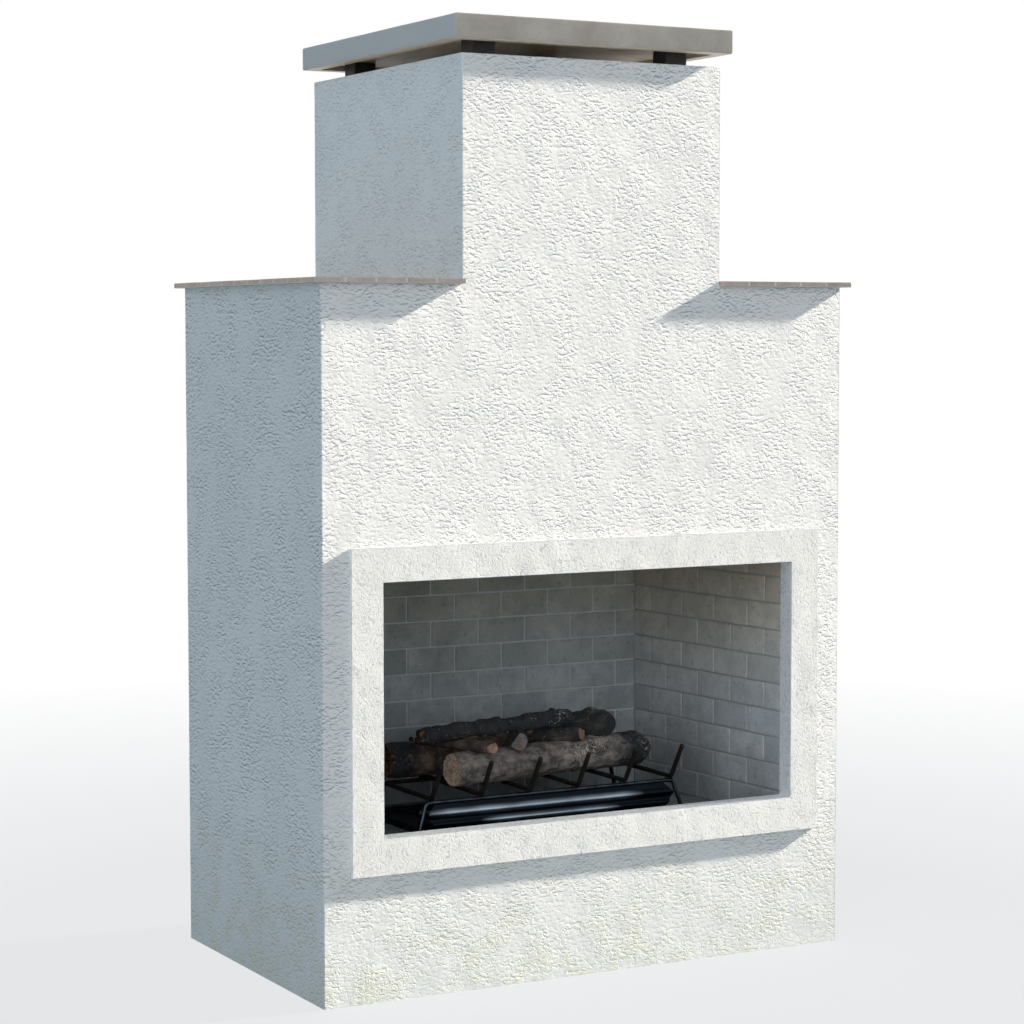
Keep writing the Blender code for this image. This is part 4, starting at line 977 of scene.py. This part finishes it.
    def floor(self, look, draw, low, high):
        """Columns of bricks that run from front to back."""
        bm = bmesh.new()
        column, left = 0, low.x
        while left < high.x - self.joint:
            right = min(left + self.pitch - self.joint, high.x)
            start, joint_place = low.y, low.y + (self.pitch / 2 if column % 2 else self.pitch)
            while start < high.y:
                end = joint_place - self.joint if joint_place < high.y - self.smallest else high.y
                top = high.z - draw.uniform(0, self.hearth_sink)
                worn_box(bm, (left, start, high.z - self.skin), (right, end, top), self.hearth_cell,
                         look.brick_arris, look.brick_wear, draw.random() * 60)
                if end == high.y:
                    break
                start, joint_place = joint_place, joint_place + self.pitch
            column, left = column + 1, left + self.pitch
        return bm


def rounded_run(points, radius, steps):
    """A run of points with each inner corner turned into an arc."""
    run = [points[0]]
    for before, corner, after in zip(points, points[1:], points[2:]):
        back, ahead = (before - corner).normalized(), (after - corner).normalized()
        half = back.angle(ahead) / 2
        centre = corner + (back + ahead).normalized() * radius / math.sin(half)
        reach = radius / math.tan(half)
        start, end = corner + back * reach - centre, corner + ahead * reach - centre
        sweep = start.angle(end)
        for step in range(steps + 1):
            turn = sweep * step / steps
            run.append(centre + (start * math.sin(sweep - turn) + end * math.sin(turn)) / math.sin(sweep))
    return run + [points[-1]]


def tube(bm, run, radius, sides, swell=None, dome=0.35):
    """Round bar along a run of points, with softly rounded ends."""
    start_dir = (run[1] - run[0]).normalized()
    end_dir = (run[-1] - run[-2]).normalized()
    stations = [(run[0], 0.6), (run[0] + start_dir * radius * dome, 1)]
    stations += [(place, 1) for place in run[1:-1]]
    stations += [(run[-1] - end_dir * radius * dome, 1), (run[-1], 0.6)]
    rings = []
    side = start_dir.orthogonal().normalized()
    previous = start_dir
    for number, (place, size) in enumerate(stations):
        ahead = stations[min(number + 1, len(stations) - 1)][0] - stations[max(number - 1, 0)][0]
        ahead.normalize()
        side = (previous.rotation_difference(ahead) @ side).normalized()
        previous = ahead
        other = ahead.cross(side)
        ring = []
        for step in range(sides):
            turn = 2 * math.pi * step / sides
            grow = 1 + (swell(place, turn) if swell else 0)
            away = side * math.cos(turn) + other * math.sin(turn)
            ring.append(bm.verts.new(place + away * radius * size * grow))
        rings.append(ring)
    join_rings(bm, rings)
    bm.faces.new(list(reversed(rings[0])))
    bm.faces.new(rings[-1])


class FIREPLACE_OT_grate(bpy.types.Operator):
    """Grate of bent round bar with its weld beads, and the polished strip under its front rail"""

    bl_idname = "fireplace.grate"
    bl_label = "Grate"

    def execute(self, context):
        look = context.scene.fireplace_iron
        iron = worn_metal("heat-blackened iron rod", look.iron_colour, look.rust_colour, roughness=0.62,
                          spread=0.14, metallic=0.65, patch=0.02, depth=0.0004)
        rubbed = worn_metal("rubbed blued steel", linear("39424B"), linear("181A1C"), roughness=0.34,
                            spread=0.1, metallic=1.0, patch=0.03, depth=0.0002)
        # Bars: their bends, their height, and how far their tips stand up and out
        front, back, bar_z, rise, reach, bar_radius = -0.1867, 0.0973, 0.362, 0.075, 0.0457, 0.005
        # Rails and legs: height and half width of a rail, and how a leg leaves it
        rail_z, rail_half, rail_inset, rail_radius = 0.3522, 0.299, 0.01, 0.0045
        leg_out, leg_lean, leg_drop = 0.0244, 0.0094, 0.0745
        # Weld beads: how far they sit beside a bar and above a rail's axis
        weld_side, weld_lift = 0.0052, 0.0046
        xs = [(number - 2.5) * 0.116 for number in range(6)]
        for number, x in enumerate(xs):
            points = [(x, front - reach, bar_z + rise), (x, front, bar_z), (x, back, bar_z),
                      (x, back + reach, bar_z + rise)]
            finish_piece(f"grate_rod_{number + 1}", self.rod(look, points, bar_radius), iron,
                         (f"grate_bar_{number + 1}",), "grate")
        for name, y, lean, metal in (("front", front + rail_inset, -1, rubbed),
                                     ("back", back - rail_inset, 1, iron)):
            foot_x, foot_y, foot_z = rail_half + leg_out, y + lean * leg_lean, rail_z - leg_drop
            points = [(-foot_x, foot_y, foot_z), (-rail_half, y, rail_z), (rail_half, y, rail_z),
                      (foot_x, foot_y, foot_z)]
            finish_piece(f"grate_legs_{name}", self.rod(look, points, rail_radius), metal,
                         (f"grate_{name}_legs",), "grate")
            bm = bmesh.new()
            for x in xs:
                for beside in (-1, 1):
                    self.weld(bm, look.weld_size, Vector((x + beside * weld_side, y, rail_z + weld_lift)))
            finish_piece(f"grate_welds_{name}", bm, iron, (), "grate")
        self.guard(context, front + rail_inset, rail_half)
        return {"FINISHED"}

    def rod(self, look, points, radius):
        """Bent round bar with a lightly hammered skin."""
        bend, stride, dent, pock = 0.012, 0.012, 0.018, 0.005
        run = rounded_run([Vector(point) for point in points], bend, look.bend_steps)
        fine = [run[0]]
        for start, end in zip(run, run[1:]):
            steps = max(1, round((end - start).length / stride))
            fine.extend(start.lerp(end, step / steps) for step in range(1, steps + 1))
        bm = bmesh.new()
        tube(bm, fine, radius, look.rod_sides,
             lambda place, turn: 0.05 * wander(place, dent) + 0.02 * wander(place, pock, turn))
        bmesh.ops.recalc_face_normals(bm, faces=bm.faces)
        return bm

    def weld(self, bm, size, middle):
        """A lumpy bead, a little flattened."""
        ripple = 0.0035
        matrix = Matrix.LocRotScale(middle, None, Vector((0.7, 1.25, 0.75)))
        made = bmesh.ops.create_icosphere(bm, subdivisions=3, radius=size, matrix=matrix)
        for vert in made["verts"]:
            away = vert.co - middle
            vert.co = middle + away * (1 + 0.25 * wander(vert.co, ripple))

    def guard(self, context, y, rail_half):
        """The strip: its outline widens to the legs and then draws in, and two ridges run along it."""
        low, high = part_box("ember_guard")
        top, height = high.z, high.z - low.z
        # Ridges: drop of the crest, half width, and the left and right ends of its shine, a painted highlight
        ridges = ((0.0185, 0.0125, -0.31, 0.23), (0.0405, 0.0095, -0.18, 0.17))
        columns, rows, sheet = 96, 44, 0.0014
        bulge, fade, leg_height = 0.0055, 0.06, 0.0766
        lean, spread, clearance = 0.01 / leg_height, 0.026, 0.0078
        # Outline: its top under the rail's axis, half width there, drop to its widest, and slope below
        under_rail, top_half, widest_drop, taper = 0.0045, 0.278, 0.02, 0.7
        swell, swell_size, ripple, ripple_size = 0.0006, 0.09, 0.0002, 0.025
        widest = rail_half + spread * (widest_drop + under_rail) / leg_height - clearance
        bm = bmesh.new()
        crest = bm.verts.layers.float.new("crest")
        grid = []
        for row in range(rows + 1):
            drop = height * row / rows
            forward = 0
            shines = []
            for centre, radius, left, right in ridges:
                if abs(drop - centre) < radius:
                    rise = math.cos((drop - centre) / radius * math.pi / 2) ** 2
                    forward = bulge * rise
                    shines.append((rise, left, right))
            beside = rail_half + spread * (drop + under_rail) / leg_height - clearance
            half = min(beside, top_half + drop, widest - taper * (drop - widest_drop))
            line = []
            for column in range(columns + 1):
                x = -half + 2 * half * column / columns
                place = Vector((x, drop, 0))
                wave = swell * wander(place, swell_size) + ripple * wander(place, ripple_size)
                line.append(bm.verts.new((x, y - lean * drop - forward + wave, top - drop)))
                # crest: the ridge's rise, faded past the ends of the painted highlight
                line[-1][crest] = sum(
                    rise * min(1, max(0, (x - left) / fade)) * min(1, max(0, (right - x) / fade))
                    for rise, left, right in shines)
            grid.append(line)
        for line, below in zip(grid, grid[1:]):
            for column in range(columns):
                face_out(bm, (line[column], below[column], below[column + 1], line[column + 1]),
                         Vector((0, -1, 0)))
        finish_piece("guard_strip", bm, crested_steel(context), ("ember_guard",), "grate",
                     sharp=60, wall=sheet)


class FIREPLACE_OT_burner(bpy.types.Operator):
    """Tray, burner tube and riser of the gas burner"""

    bl_idname = "fireplace.burner"
    bl_label = "Gas burner"

    def execute(self, context):
        look = context.scene.fireplace_iron
        satin = worn_metal("satin black tray", look.pan_colour, linear("1B1E22"), roughness=0.34,
                           spread=0.08, metallic=1.0, patch=0.05, depth=0.0002)
        sheet, stations = 0.0015, 40
        ports, port_pitch, port_foot, port_top, port_rise = 10, 0.04, 0.0032, 0.0026, 0.0012
        finish_piece("burner_tray", self.tray(*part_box("burner_pan")), satin, ("burner_pan",),
                     wall=sheet)
        low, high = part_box("burner_tube")
        middle = (low + high) / 2
        bm = bmesh.new()
        run = [Vector((low.x + (high.x - low.x) * step / stations, middle.y, middle.z))
               for step in range(stations + 1)]
        tube(bm, run, (high.z - low.z) / 2, 32, dome=0.5)
        for number in range(ports):
            x = (number - (ports - 1) / 2) * port_pitch
            bmesh.ops.create_cone(bm, cap_ends=True, segments=16, radius1=port_foot, radius2=port_top,
                                  depth=port_rise, matrix=Matrix.Translation((x, middle.y, high.z)))
        bmesh.ops.recalc_face_normals(bm, faces=bm.faces)
        finish_piece("burner_pipe", bm, satin, ("burner_tube",))
        pipe = worn_metal("black steel pipe", linear("2A2A2B"), linear("3F3B37"), roughness=0.5,
                          spread=0.1, metallic=0.8, patch=0.03, depth=0.0002)
        paint(pipe, "gas_riser")
        return {"FINISHED"}

    def tray(self, low, high):
        """A pressed tray: a slightly dished sheet with an upright rim."""
        bm = bmesh.new()
        cell, edge, dish_depth, dish_size = 0.01, 0.004, 0.0007, 0.07
        xs = spaced(low.x, high.x, cell, edge)
        ys = spaced(low.y, high.y, cell, edge)
        last_i, last_j = len(xs) - 1, len(ys) - 1
        grid = {}
        for i, x in enumerate(xs):
            for j, y in enumerate(ys):
                dish = dish_depth * wander(Vector((x, y, 0)), dish_size)
                grid[i, j] = bm.verts.new((x, y, low.z + max(0, dish)))
        for i in range(last_i):
            for j in range(last_j):
                face_out(bm, (grid[i, j], grid[i + 1, j], grid[i + 1, j + 1], grid[i, j + 1]), -UP)
        rim = [grid[i, 0] for i in range(last_i)] + [grid[last_i, j] for j in range(last_j)]
        rim += [grid[i, last_j] for i in range(last_i, 0, -1)] + [grid[0, j] for j in range(last_j, 0, -1)]
        upper = [bm.verts.new((vert.co.x, vert.co.y, high.z)) for vert in rim]
        for place, vert in enumerate(rim):
            beside = (place + 1) % len(rim)
            outward = Vector((vert.co.x, vert.co.y - (low.y + high.y) / 2, 0))
            face_out(bm, (vert, rim[beside], upper[beside], upper[place]), outward)
        return bm


def blend_rows(rows, place):
    """The values of a table of rows at a place, eased between its first columns."""
    for row, after in zip(rows, rows[1:]):
        if place <= after[0]:
            turn = (place - row[0]) / (after[0] - row[0])
            turn = turn * turn * (3 - 2 * turn)
            return [a + (b - a) * turn for a, b in zip(row[1:], after[1:])]
    return rows[-1][1:]


# Outlines along a log: place, radius and sideways bend, as shares of its length, radius, radius
STRAIGHT = ((0, 0.93, 0), (0.05, 1, 0), (0.3, 0.96, 0.1), (0.55, 1, 0.06), (0.8, 0.97, -0.06), (0.96, 1, 0),
            (1, 0.92, 0))
CROOKED = ((0, 0.95, 0), (0.04, 1, 0), (0.25, 0.97, -0.08), (0.5, 0.98, 0.14), (0.75, 1, 0.06),
           (0.93, 0.96, -0.12), (1, 0.78, -0.16))
BLOCKY = ((0, 0.84, 0), (0.05, 1.02, 0), (0.2, 0.9, 0.16), (0.225, 1.06, 0.2), (0.37, 0.86, 0.1),
          (0.395, 1.1, 0.06), (0.52, 1.0, 0), (0.545, 0.84, -0.12), (0.66, 0.9, -0.16), (0.685, 1.08, -0.1),
          (0.84, 0.94, 0.08), (0.865, 1.12, 0.12), (1, 0.84, 0))
STUMP = ((0, 0.8, 0), (0.12, 1, 0), (0.4, 0.96, 0.08), (0.7, 0.72, 0), (1, 0.62, -0.06))


class FIREPLACE_OT_logs(bpy.types.Operator):
    """Seven half-burnt logs with furrowed bark, knots and ragged ends"""

    bl_idname = "fireplace.logs"
    bl_label = "Logs"

    def execute(self, context):
        look = context.scene.fireplace_logs
        ember_wood = linear("4A423C")
        # Each finish: its bark, its shares of char, ash, scorch and clean end wood, and the end wood
        bark = burnt_log(context, "lichened bark log", look.bark_colour, 0.05, 0.1, 0.15, 0.9,
                         linear("F2D6BE"))
        scorched = burnt_log(context, "scorched bark log", linear("8C7564"), -0.05, 0.1, 0.9, 0.6,
                             linear("7A4F36"))
        split = burnt_log(context, "split branch", linear("6C6058"), 0.16, 0.1, 0.3, 1.05, look.wood_colour)
        slate = burnt_log(context, "grey-ended branch", linear("4C4743"), 0.1, 0.1, 0.45, 0.85,
                          linear("8A8C8C"))
        coal = burnt_log(context, "charred branch", linear("4A4541"), 0.5, 0.1, 0.8, 0.2, ember_wood)
        knotty = burnt_log(context, "knotty branch", linear("4E5049"), 0.26, 0.2, 0.1, 0.2, ember_wood)
        self.log(context, "front_log", (-0.1931, -0.0930, 0.4013), (0.3303, -0.0143, 0.4013), 0.038, CROOKED,
                 bark, seed=0.0, burns=(0.05, 1.0), domes=(False, True), rough=1.2,
                 knots=((0.2, 0.6, 0.16), (0.62, 1.9, 0.2), (0.8, 0.9, 0.13), (0.93, 2.2, 0.22)),
                 lichens=((0.6, 0.1, 0.9), (0.7, 0.7, 0.8), (0.98, 1.2, 0.9)))
        self.log(context, "rear_log", (-0.2743, 0.0695, 0.4023), (0.2413, 0.0618, 0.4023), 0.039, STRAIGHT,
                 scorched, seed=3.7, burns=(0.9, 0.2), rough=1.4, knots=((0.35, 1.1, 0.15),))
        self.log(context, "cross_log_left", (-0.1195, -0.1336, 0.4483), (-0.2033, 0.0467, 0.4498), 0.0142,
                 STRAIGHT, split, seed=7.4, burns=(0.2, 0.6), flat=1.9, slants=((0.35, 2.6), None))
        self.log(context, "cross_log_middle", (-0.0458, -0.1160, 0.4529), (0.0432, 0.0567, 0.4552), 0.02,
                 STRAIGHT, slate, seed=11.1, burns=(0.25, 0.4), flat=2.5, slants=((0.3, 0.4), None),
                 knots=((0.5, 1.5, 0.15),))
        self.log(context, "short_log", (0.1372, -0.0651, 0.4512), (0.0357, -0.0296, 0.4512), 0.0168, STRAIGHT,
                 split, seed=14.8, burns=(0.3, 0.9), flat=0.9, slants=((0.6, 2.9), None), rough=1.3)
        self.log(context, "top_log", (-0.2488, -0.0424, 0.4687), (0.0966, -0.0955, 0.4965), 0.018, BLOCKY,
                 coal, seed=18.5, burns=(1.0, 0.5), domes=(False, True), rough=2.4,
                 knots=((0.12, 1.4, 0.22), (0.3, 0.9, 0.16), (0.5, 1.5, 0.3), (0.68, 0.6, 0.16),
                        (0.86, 1.4, 0.26)))
        self.log(context, "stump_log", (0.2236, -0.0600, 0.4663), (0.0913, 0.0669, 0.4545), 0.029, STUMP,
                 knotty, seed=22.2, burns=(0.3, 0.5), domes=(True, True), rough=2.0,
                 knots=((0.12, 2.3, 0.28), (0.3, 1.4, 0.42), (0.2, 3.6, 0.25), (0.5, 0.4, 0.25)),
                 lichens=((0.2, 1.0, 0.8),))
        return {"FINISHED"}

    def log(self, context, name, start, end, radius, outline, material, seed, burns, knots=(), flat=None,
            slants=(None, None), domes=(False, False), rough=1.0, lichens=()):
        """One log: sections along a bent axis, its bark in relief, and end wood set into the bark.

        Knots and lichens are (share of the length, angle, size). Burns are how burnt each end is, and
        flat is the angle of a split face. A slant is the slope of an end's face and the angle it faces; a
        domed end is rounded over; rough is how many times deeper than usual the furrows are.
        """
        look = context.scene.fireplace_logs
        longest, thick, roll, crumb = 0.53, 0.02, 0.05, 0.012
        start, end = Vector(start), Vector(end)
        along = end - start
        reach = along.length
        ahead = along.normalized()
        side = ahead.cross(UP).normalized()
        up = side.cross(ahead)
        sideways = Vector((-along.y, along.x, 0)).normalized()
        sections = max(16, round(look.rings * reach / longest))
        sides = look.sides if radius > thick else max(24, look.sides * 2 // 3)
        bm = bmesh.new()
        grain = bm.verts.layers.float_vector.new("grain")
        cut, core, burn, lichen = [bm.verts.layers.float.new(mark) for mark in MARKS]

        def section(place, size, inset=0.0, woody=0.0):
            fat, bend = blend_rows(outline, place)
            gaps = (place * reach / radius, (1 - place) * reach / radius)

            def spread(spot, turn, about):
                return math.hypot((place - spot) * reach / radius, math.remainder(turn - about, 2 * math.pi))

            for domed, gap in zip(domes, gaps):
                if domed and gap < 0.9:
                    fat *= math.sqrt(1 - 0.8 * (1 - gap / 0.9) ** 2)
            middle = start + along * place + sideways * bend * radius + ahead * inset
            ring = []
            for step in range(sides):
                turn = 2 * math.pi * step / sides
                flat_place = Vector((place * reach * 0.25, radius * math.cos(turn), radius * math.sin(turn)))
                grow = 1 + 0.06 * wander(flat_place, roll, seed)
                furrow = wander(flat_place, look.bark_width, seed)
                grow += rough * look.bark_share * (furrow - 0.25) * (1 - woody)
                for knot_place, knot_turn, knot_size in knots:
                    gap = spread(knot_place, turn, knot_turn)
                    hollow = 0.55 * math.exp(-(gap / 0.16) ** 2)
                    grow += knot_size * math.exp(-(gap / 0.42) ** 2) * (1 - hollow)
                if flat is not None and math.cos(turn - flat) > 0.45:
                    grow = min(grow, 0.55 / math.cos(turn - flat))
                away = side * math.cos(turn) + up * math.sin(turn)
                shift = Vector()
                if inset or size < 1:
                    shift += ahead * radius * 0.12 * wander(flat_place * 2, crumb, seed + 9)
                for slant, gap, sign in zip(slants, gaps, (1, -1)):
                    if slant and gap < 3:
                        shift += (ahead * sign * slant[0] * math.cos(turn - slant[1]) * radius * size
                                  * (1 - gap / 3) ** 2)
                vert = bm.verts.new(middle + away * radius * fat * size * grow + shift)
                vert[grain] = flat_place + Vector((seed, 0, 0))
                vert[cut] = woody
                vert[core] = radius * size
                vert[burn] = max(share_burnt * math.exp(-gap / 2.2) for share_burnt, gap in zip(burns, gaps))
                vert[lichen] = min(1, sum(math.exp(-(spread(spot, turn, about) / wide) ** 2)
                                          for spot, about, wide in lichens))
                ring.append(vert)
            return ring

        deep = 0.06 * radius
        dish = ((0.2, deep), (0.42, 1.3 * deep), (0.64, 0.8 * deep), (0.82, deep), (0.9, 0.6 * deep))
        woods = [0 if domed else 1 for domed in domes]
        rings = [section(0, size, inset, woods[0]) for size, inset in dish]
        rings.append(section(0, 0.97, 0.0, 0.5 * woods[0]))
        rings += [section(place / sections, 1) for place in range(sections + 1)]
        rings.append(section(1, 0.97, 0.0, 0.5 * woods[1]))
        rings += [section(1, size, -inset, woods[1]) for size, inset in reversed(dish)]
        join_rings(bm, rings)
        for ring, woody in ((rings[0], woods[0]), (rings[-1], woods[1])):
            heart = bm.verts.new(sum((vert.co for vert in ring), Vector()) / sides)
            heart[grain], heart[cut], heart[core], heart[burn] = ring[0][grain], woody, 0.0, ring[0][burn]
            for step in range(sides):
                bm.faces.new((ring[step], ring[(step + 1) % sides], heart))
        bmesh.ops.recalc_face_normals(bm, faces=bm.faces)
        finish_piece(f"{name}_bark", bm, material, (name,), name, sharp=70)


class FIREPLACE_OT_structure(bpy.types.Operator):
    """Finishes of the hidden frame, boards, panels, hood and flue"""

    bl_idname = "fireplace.structure"
    bl_label = "Hidden structure"

    def execute(self, context):
        nodes = sorted(frame["nodes"])
        board = pressed_board("fibre cement board", linear("9C9C98"), linear("7F7F7B"))
        refractory = pressed_board("refractory board", linear("B8B2A6"), linear("948D80"))
        paint(spangled_zinc(context), "smoke_hood", "flue_pipe",
              *[name for name in nodes if name.startswith("frame_")])
        paint(board, *[name for name in nodes if name.startswith("board_")])
        paint(refractory, "hearth_slab", *[name for name in nodes if name.startswith("panel_")])
        return {"FINISHED"}


def seen_directly(tree):
    """A share that is 1 for rays from the camera, a reflection or a see-through surface."""
    path = add(tree, "LightPath").outputs
    seen = add(tree, "Math", path["Is Camera Ray"], path["Is Glossy Ray"], operation="MAXIMUM")
    return add(tree, "Math", seen, path["Is Transmission Ray"], operation="MAXIMUM")


class FIREPLACE_OT_stage(bpy.types.Operator):
    """Plain pale floor, soft lamps, soft sky and the camera"""

    bl_idname = "fireplace.stage"
    bl_label = "Stage"

    def execute(self, context):
        look = context.scene.fireplace_stage
        scene = context.scene
        sensor_mm, farthest, lamp_distance = 36, 200, 4
        self.floor(scene, look)
        self.sky(scene, look)
        sun = (0.886, -0.092, 0.455)
        for name, strength, tint, softness, towards in (
            ("key", look.key_level, look.key_colour, look.key_softness, sun),
            ("rake", look.rake_level, look.key_colour, look.key_softness, sun),
            ("fill", look.fill_level, look.fill_colour, look.fill_softness, (-0.45, -1.0, 0.2)),
            ("high", look.high_level, look.high_colour, look.fill_softness, (-0.6, -0.3, 0.75)),
        ):
            lamp = bpy.data.lights.new(name, "SUN")
            lamp.energy = strength
            lamp.color = tint[:3]
            lamp.angle = softness
            holder = bpy.data.objects.new(name, lamp)
            holder.rotation_mode = "QUATERNION"
            holder.rotation_quaternion = Vector(towards).to_track_quat("Z", "Y")
            holder.location = Vector(towards) * lamp_distance
            scene.collection.objects.link(holder)
            if name in ("key", "rake"):
                self.limit(holder, name == "rake")
        data = bpy.data.cameras.new("camera")
        data.lens = look.lens
        data.sensor_width = sensor_mm
        data.clip_end = farthest
        camera = bpy.data.objects.new("camera", data)
        camera.location = look.camera_place
        camera.rotation_euler = look.camera_turn
        scene.collection.objects.link(camera)
        scene.camera = camera
        scene.view_settings.view_transform = "Standard"
        return {"FINISHED"}

    def limit(self, holder, raking):
        """Let the raking lamp reach the front face alone, as a flag beside a studio lamp would."""
        lit = bpy.data.collections.new(f"lit by {holder.name}")
        for piece in bpy.context.scene.objects:
            if piece.type == "MESH" and (piece.name in RAKED) == raking:
                lit.objects.link(piece)
        holder.light_linking.receiver_collection = lit

    def floor(self, scene, look):
        """A wide floor that takes the shadow near the object and turns to plain white further out."""
        half_width, cells, sunk, near, far_off = 60, 8, 0.0006, 1.2, 4.5
        bm = bmesh.new()
        bmesh.ops.create_grid(bm, x_segments=cells, y_segments=cells, size=half_width,
                              matrix=Matrix.Translation((0, 0, -sunk)))
        mesh = bpy.data.meshes.new("floor")
        bm.to_mesh(mesh)
        bm.free()
        material, tree, shader, place = new_material("pale floor", 0.9, specular=0.1)
        feed(tree, shader, Base_Color=look.floor_colour)
        away = add(tree, "VectorMath", place, operation="LENGTH")
        far = add(tree, "MapRange", away, near, far_off)
        lifted = add(tree, "MapRange", far, 0.0, 1.0, look.floor_glow, 1.0)
        factor = add(tree, "Math", seen_directly(tree), lifted, operation="MULTIPLY")
        white = add(tree, "Emission", Color=WHITE, Strength=1.0)
        mixed = add(tree, "MixShader", factor, shader, white)
        feed(tree, tree.nodes["Material Output"], Surface=mixed)
        mesh.materials.append(material)
        floor = bpy.data.objects.new("floor", mesh)
        scene.collection.objects.link(floor)

    def sky(self, scene, look):
        """Even light from all round that the camera and reflections see as white."""
        world = bpy.data.worlds.new("soft sky")
        world.use_nodes = True
        tree = world.node_tree
        soft = tree.nodes["Background"]
        feed(tree, soft, Color=look.sky_colour, Strength=look.sky_level)
        white = add(tree, "Background", Color=WHITE, Strength=1.0)
        mixed = add(tree, "MixShader", seen_directly(tree), soft, white)
        feed(tree, tree.nodes["World Output"], Surface=mixed)
        scene.world = world


class FIREPLACE_PT_panel(bpy.types.Panel):
    """Sidebar panel that lists the steps of the dressing and their settings"""

    bl_idname = "FIREPLACE_PT_panel"
    bl_label = "Outdoor fireplace"
    bl_space_type = "VIEW_3D"
    bl_region_type = "UI"
    bl_category = "Fireplace"

    def draw(self, context):
        for step in STEPS:
            self.layout.operator(step.bl_idname)
        for name, group in GROUPS.items():
            box = self.layout.box()
            box.label(text=name.replace("fireplace_", "").title())
            for setting in group.__annotations__:
                box.prop(getattr(context.scene, name), setting)


GROUPS = {
    "fireplace_stucco": FireplaceStucco,
    "fireplace_masonry": FireplaceMasonry,
    "fireplace_iron": FireplaceIron,
    "fireplace_logs": FireplaceLogs,
    "fireplace_stage": FireplaceStage,
}
STEPS = (FIREPLACE_OT_stucco, FIREPLACE_OT_surround, FIREPLACE_OT_ledges, FIREPLACE_OT_cap,
         FIREPLACE_OT_bricks, FIREPLACE_OT_grate, FIREPLACE_OT_burner, FIREPLACE_OT_logs,
         FIREPLACE_OT_structure, FIREPLACE_OT_stage)


def register():
    for made in (*GROUPS.values(), *STEPS, FIREPLACE_PT_panel):
        bpy.utils.register_class(made)
    for name, group in GROUPS.items():
        setattr(bpy.types.Scene, name, PointerProperty(type=group))


def unregister():
    for name in GROUPS:
        delattr(bpy.types.Scene, name)
    for made in reversed((*GROUPS.values(), *STEPS, FIREPLACE_PT_panel)):
        bpy.utils.unregister_class(made)


def main():
    register()
    bpy.ops.fireplace.stucco()
    bpy.ops.fireplace.surround()
    bpy.ops.fireplace.ledges()
    bpy.ops.fireplace.cap()
    bpy.ops.fireplace.bricks()
    bpy.ops.fireplace.grate()
    bpy.ops.fireplace.burner()
    bpy.ops.fireplace.logs()
    bpy.ops.fireplace.structure()
    bpy.ops.fireplace.stage()


if __name__ == "__main__":
    main()
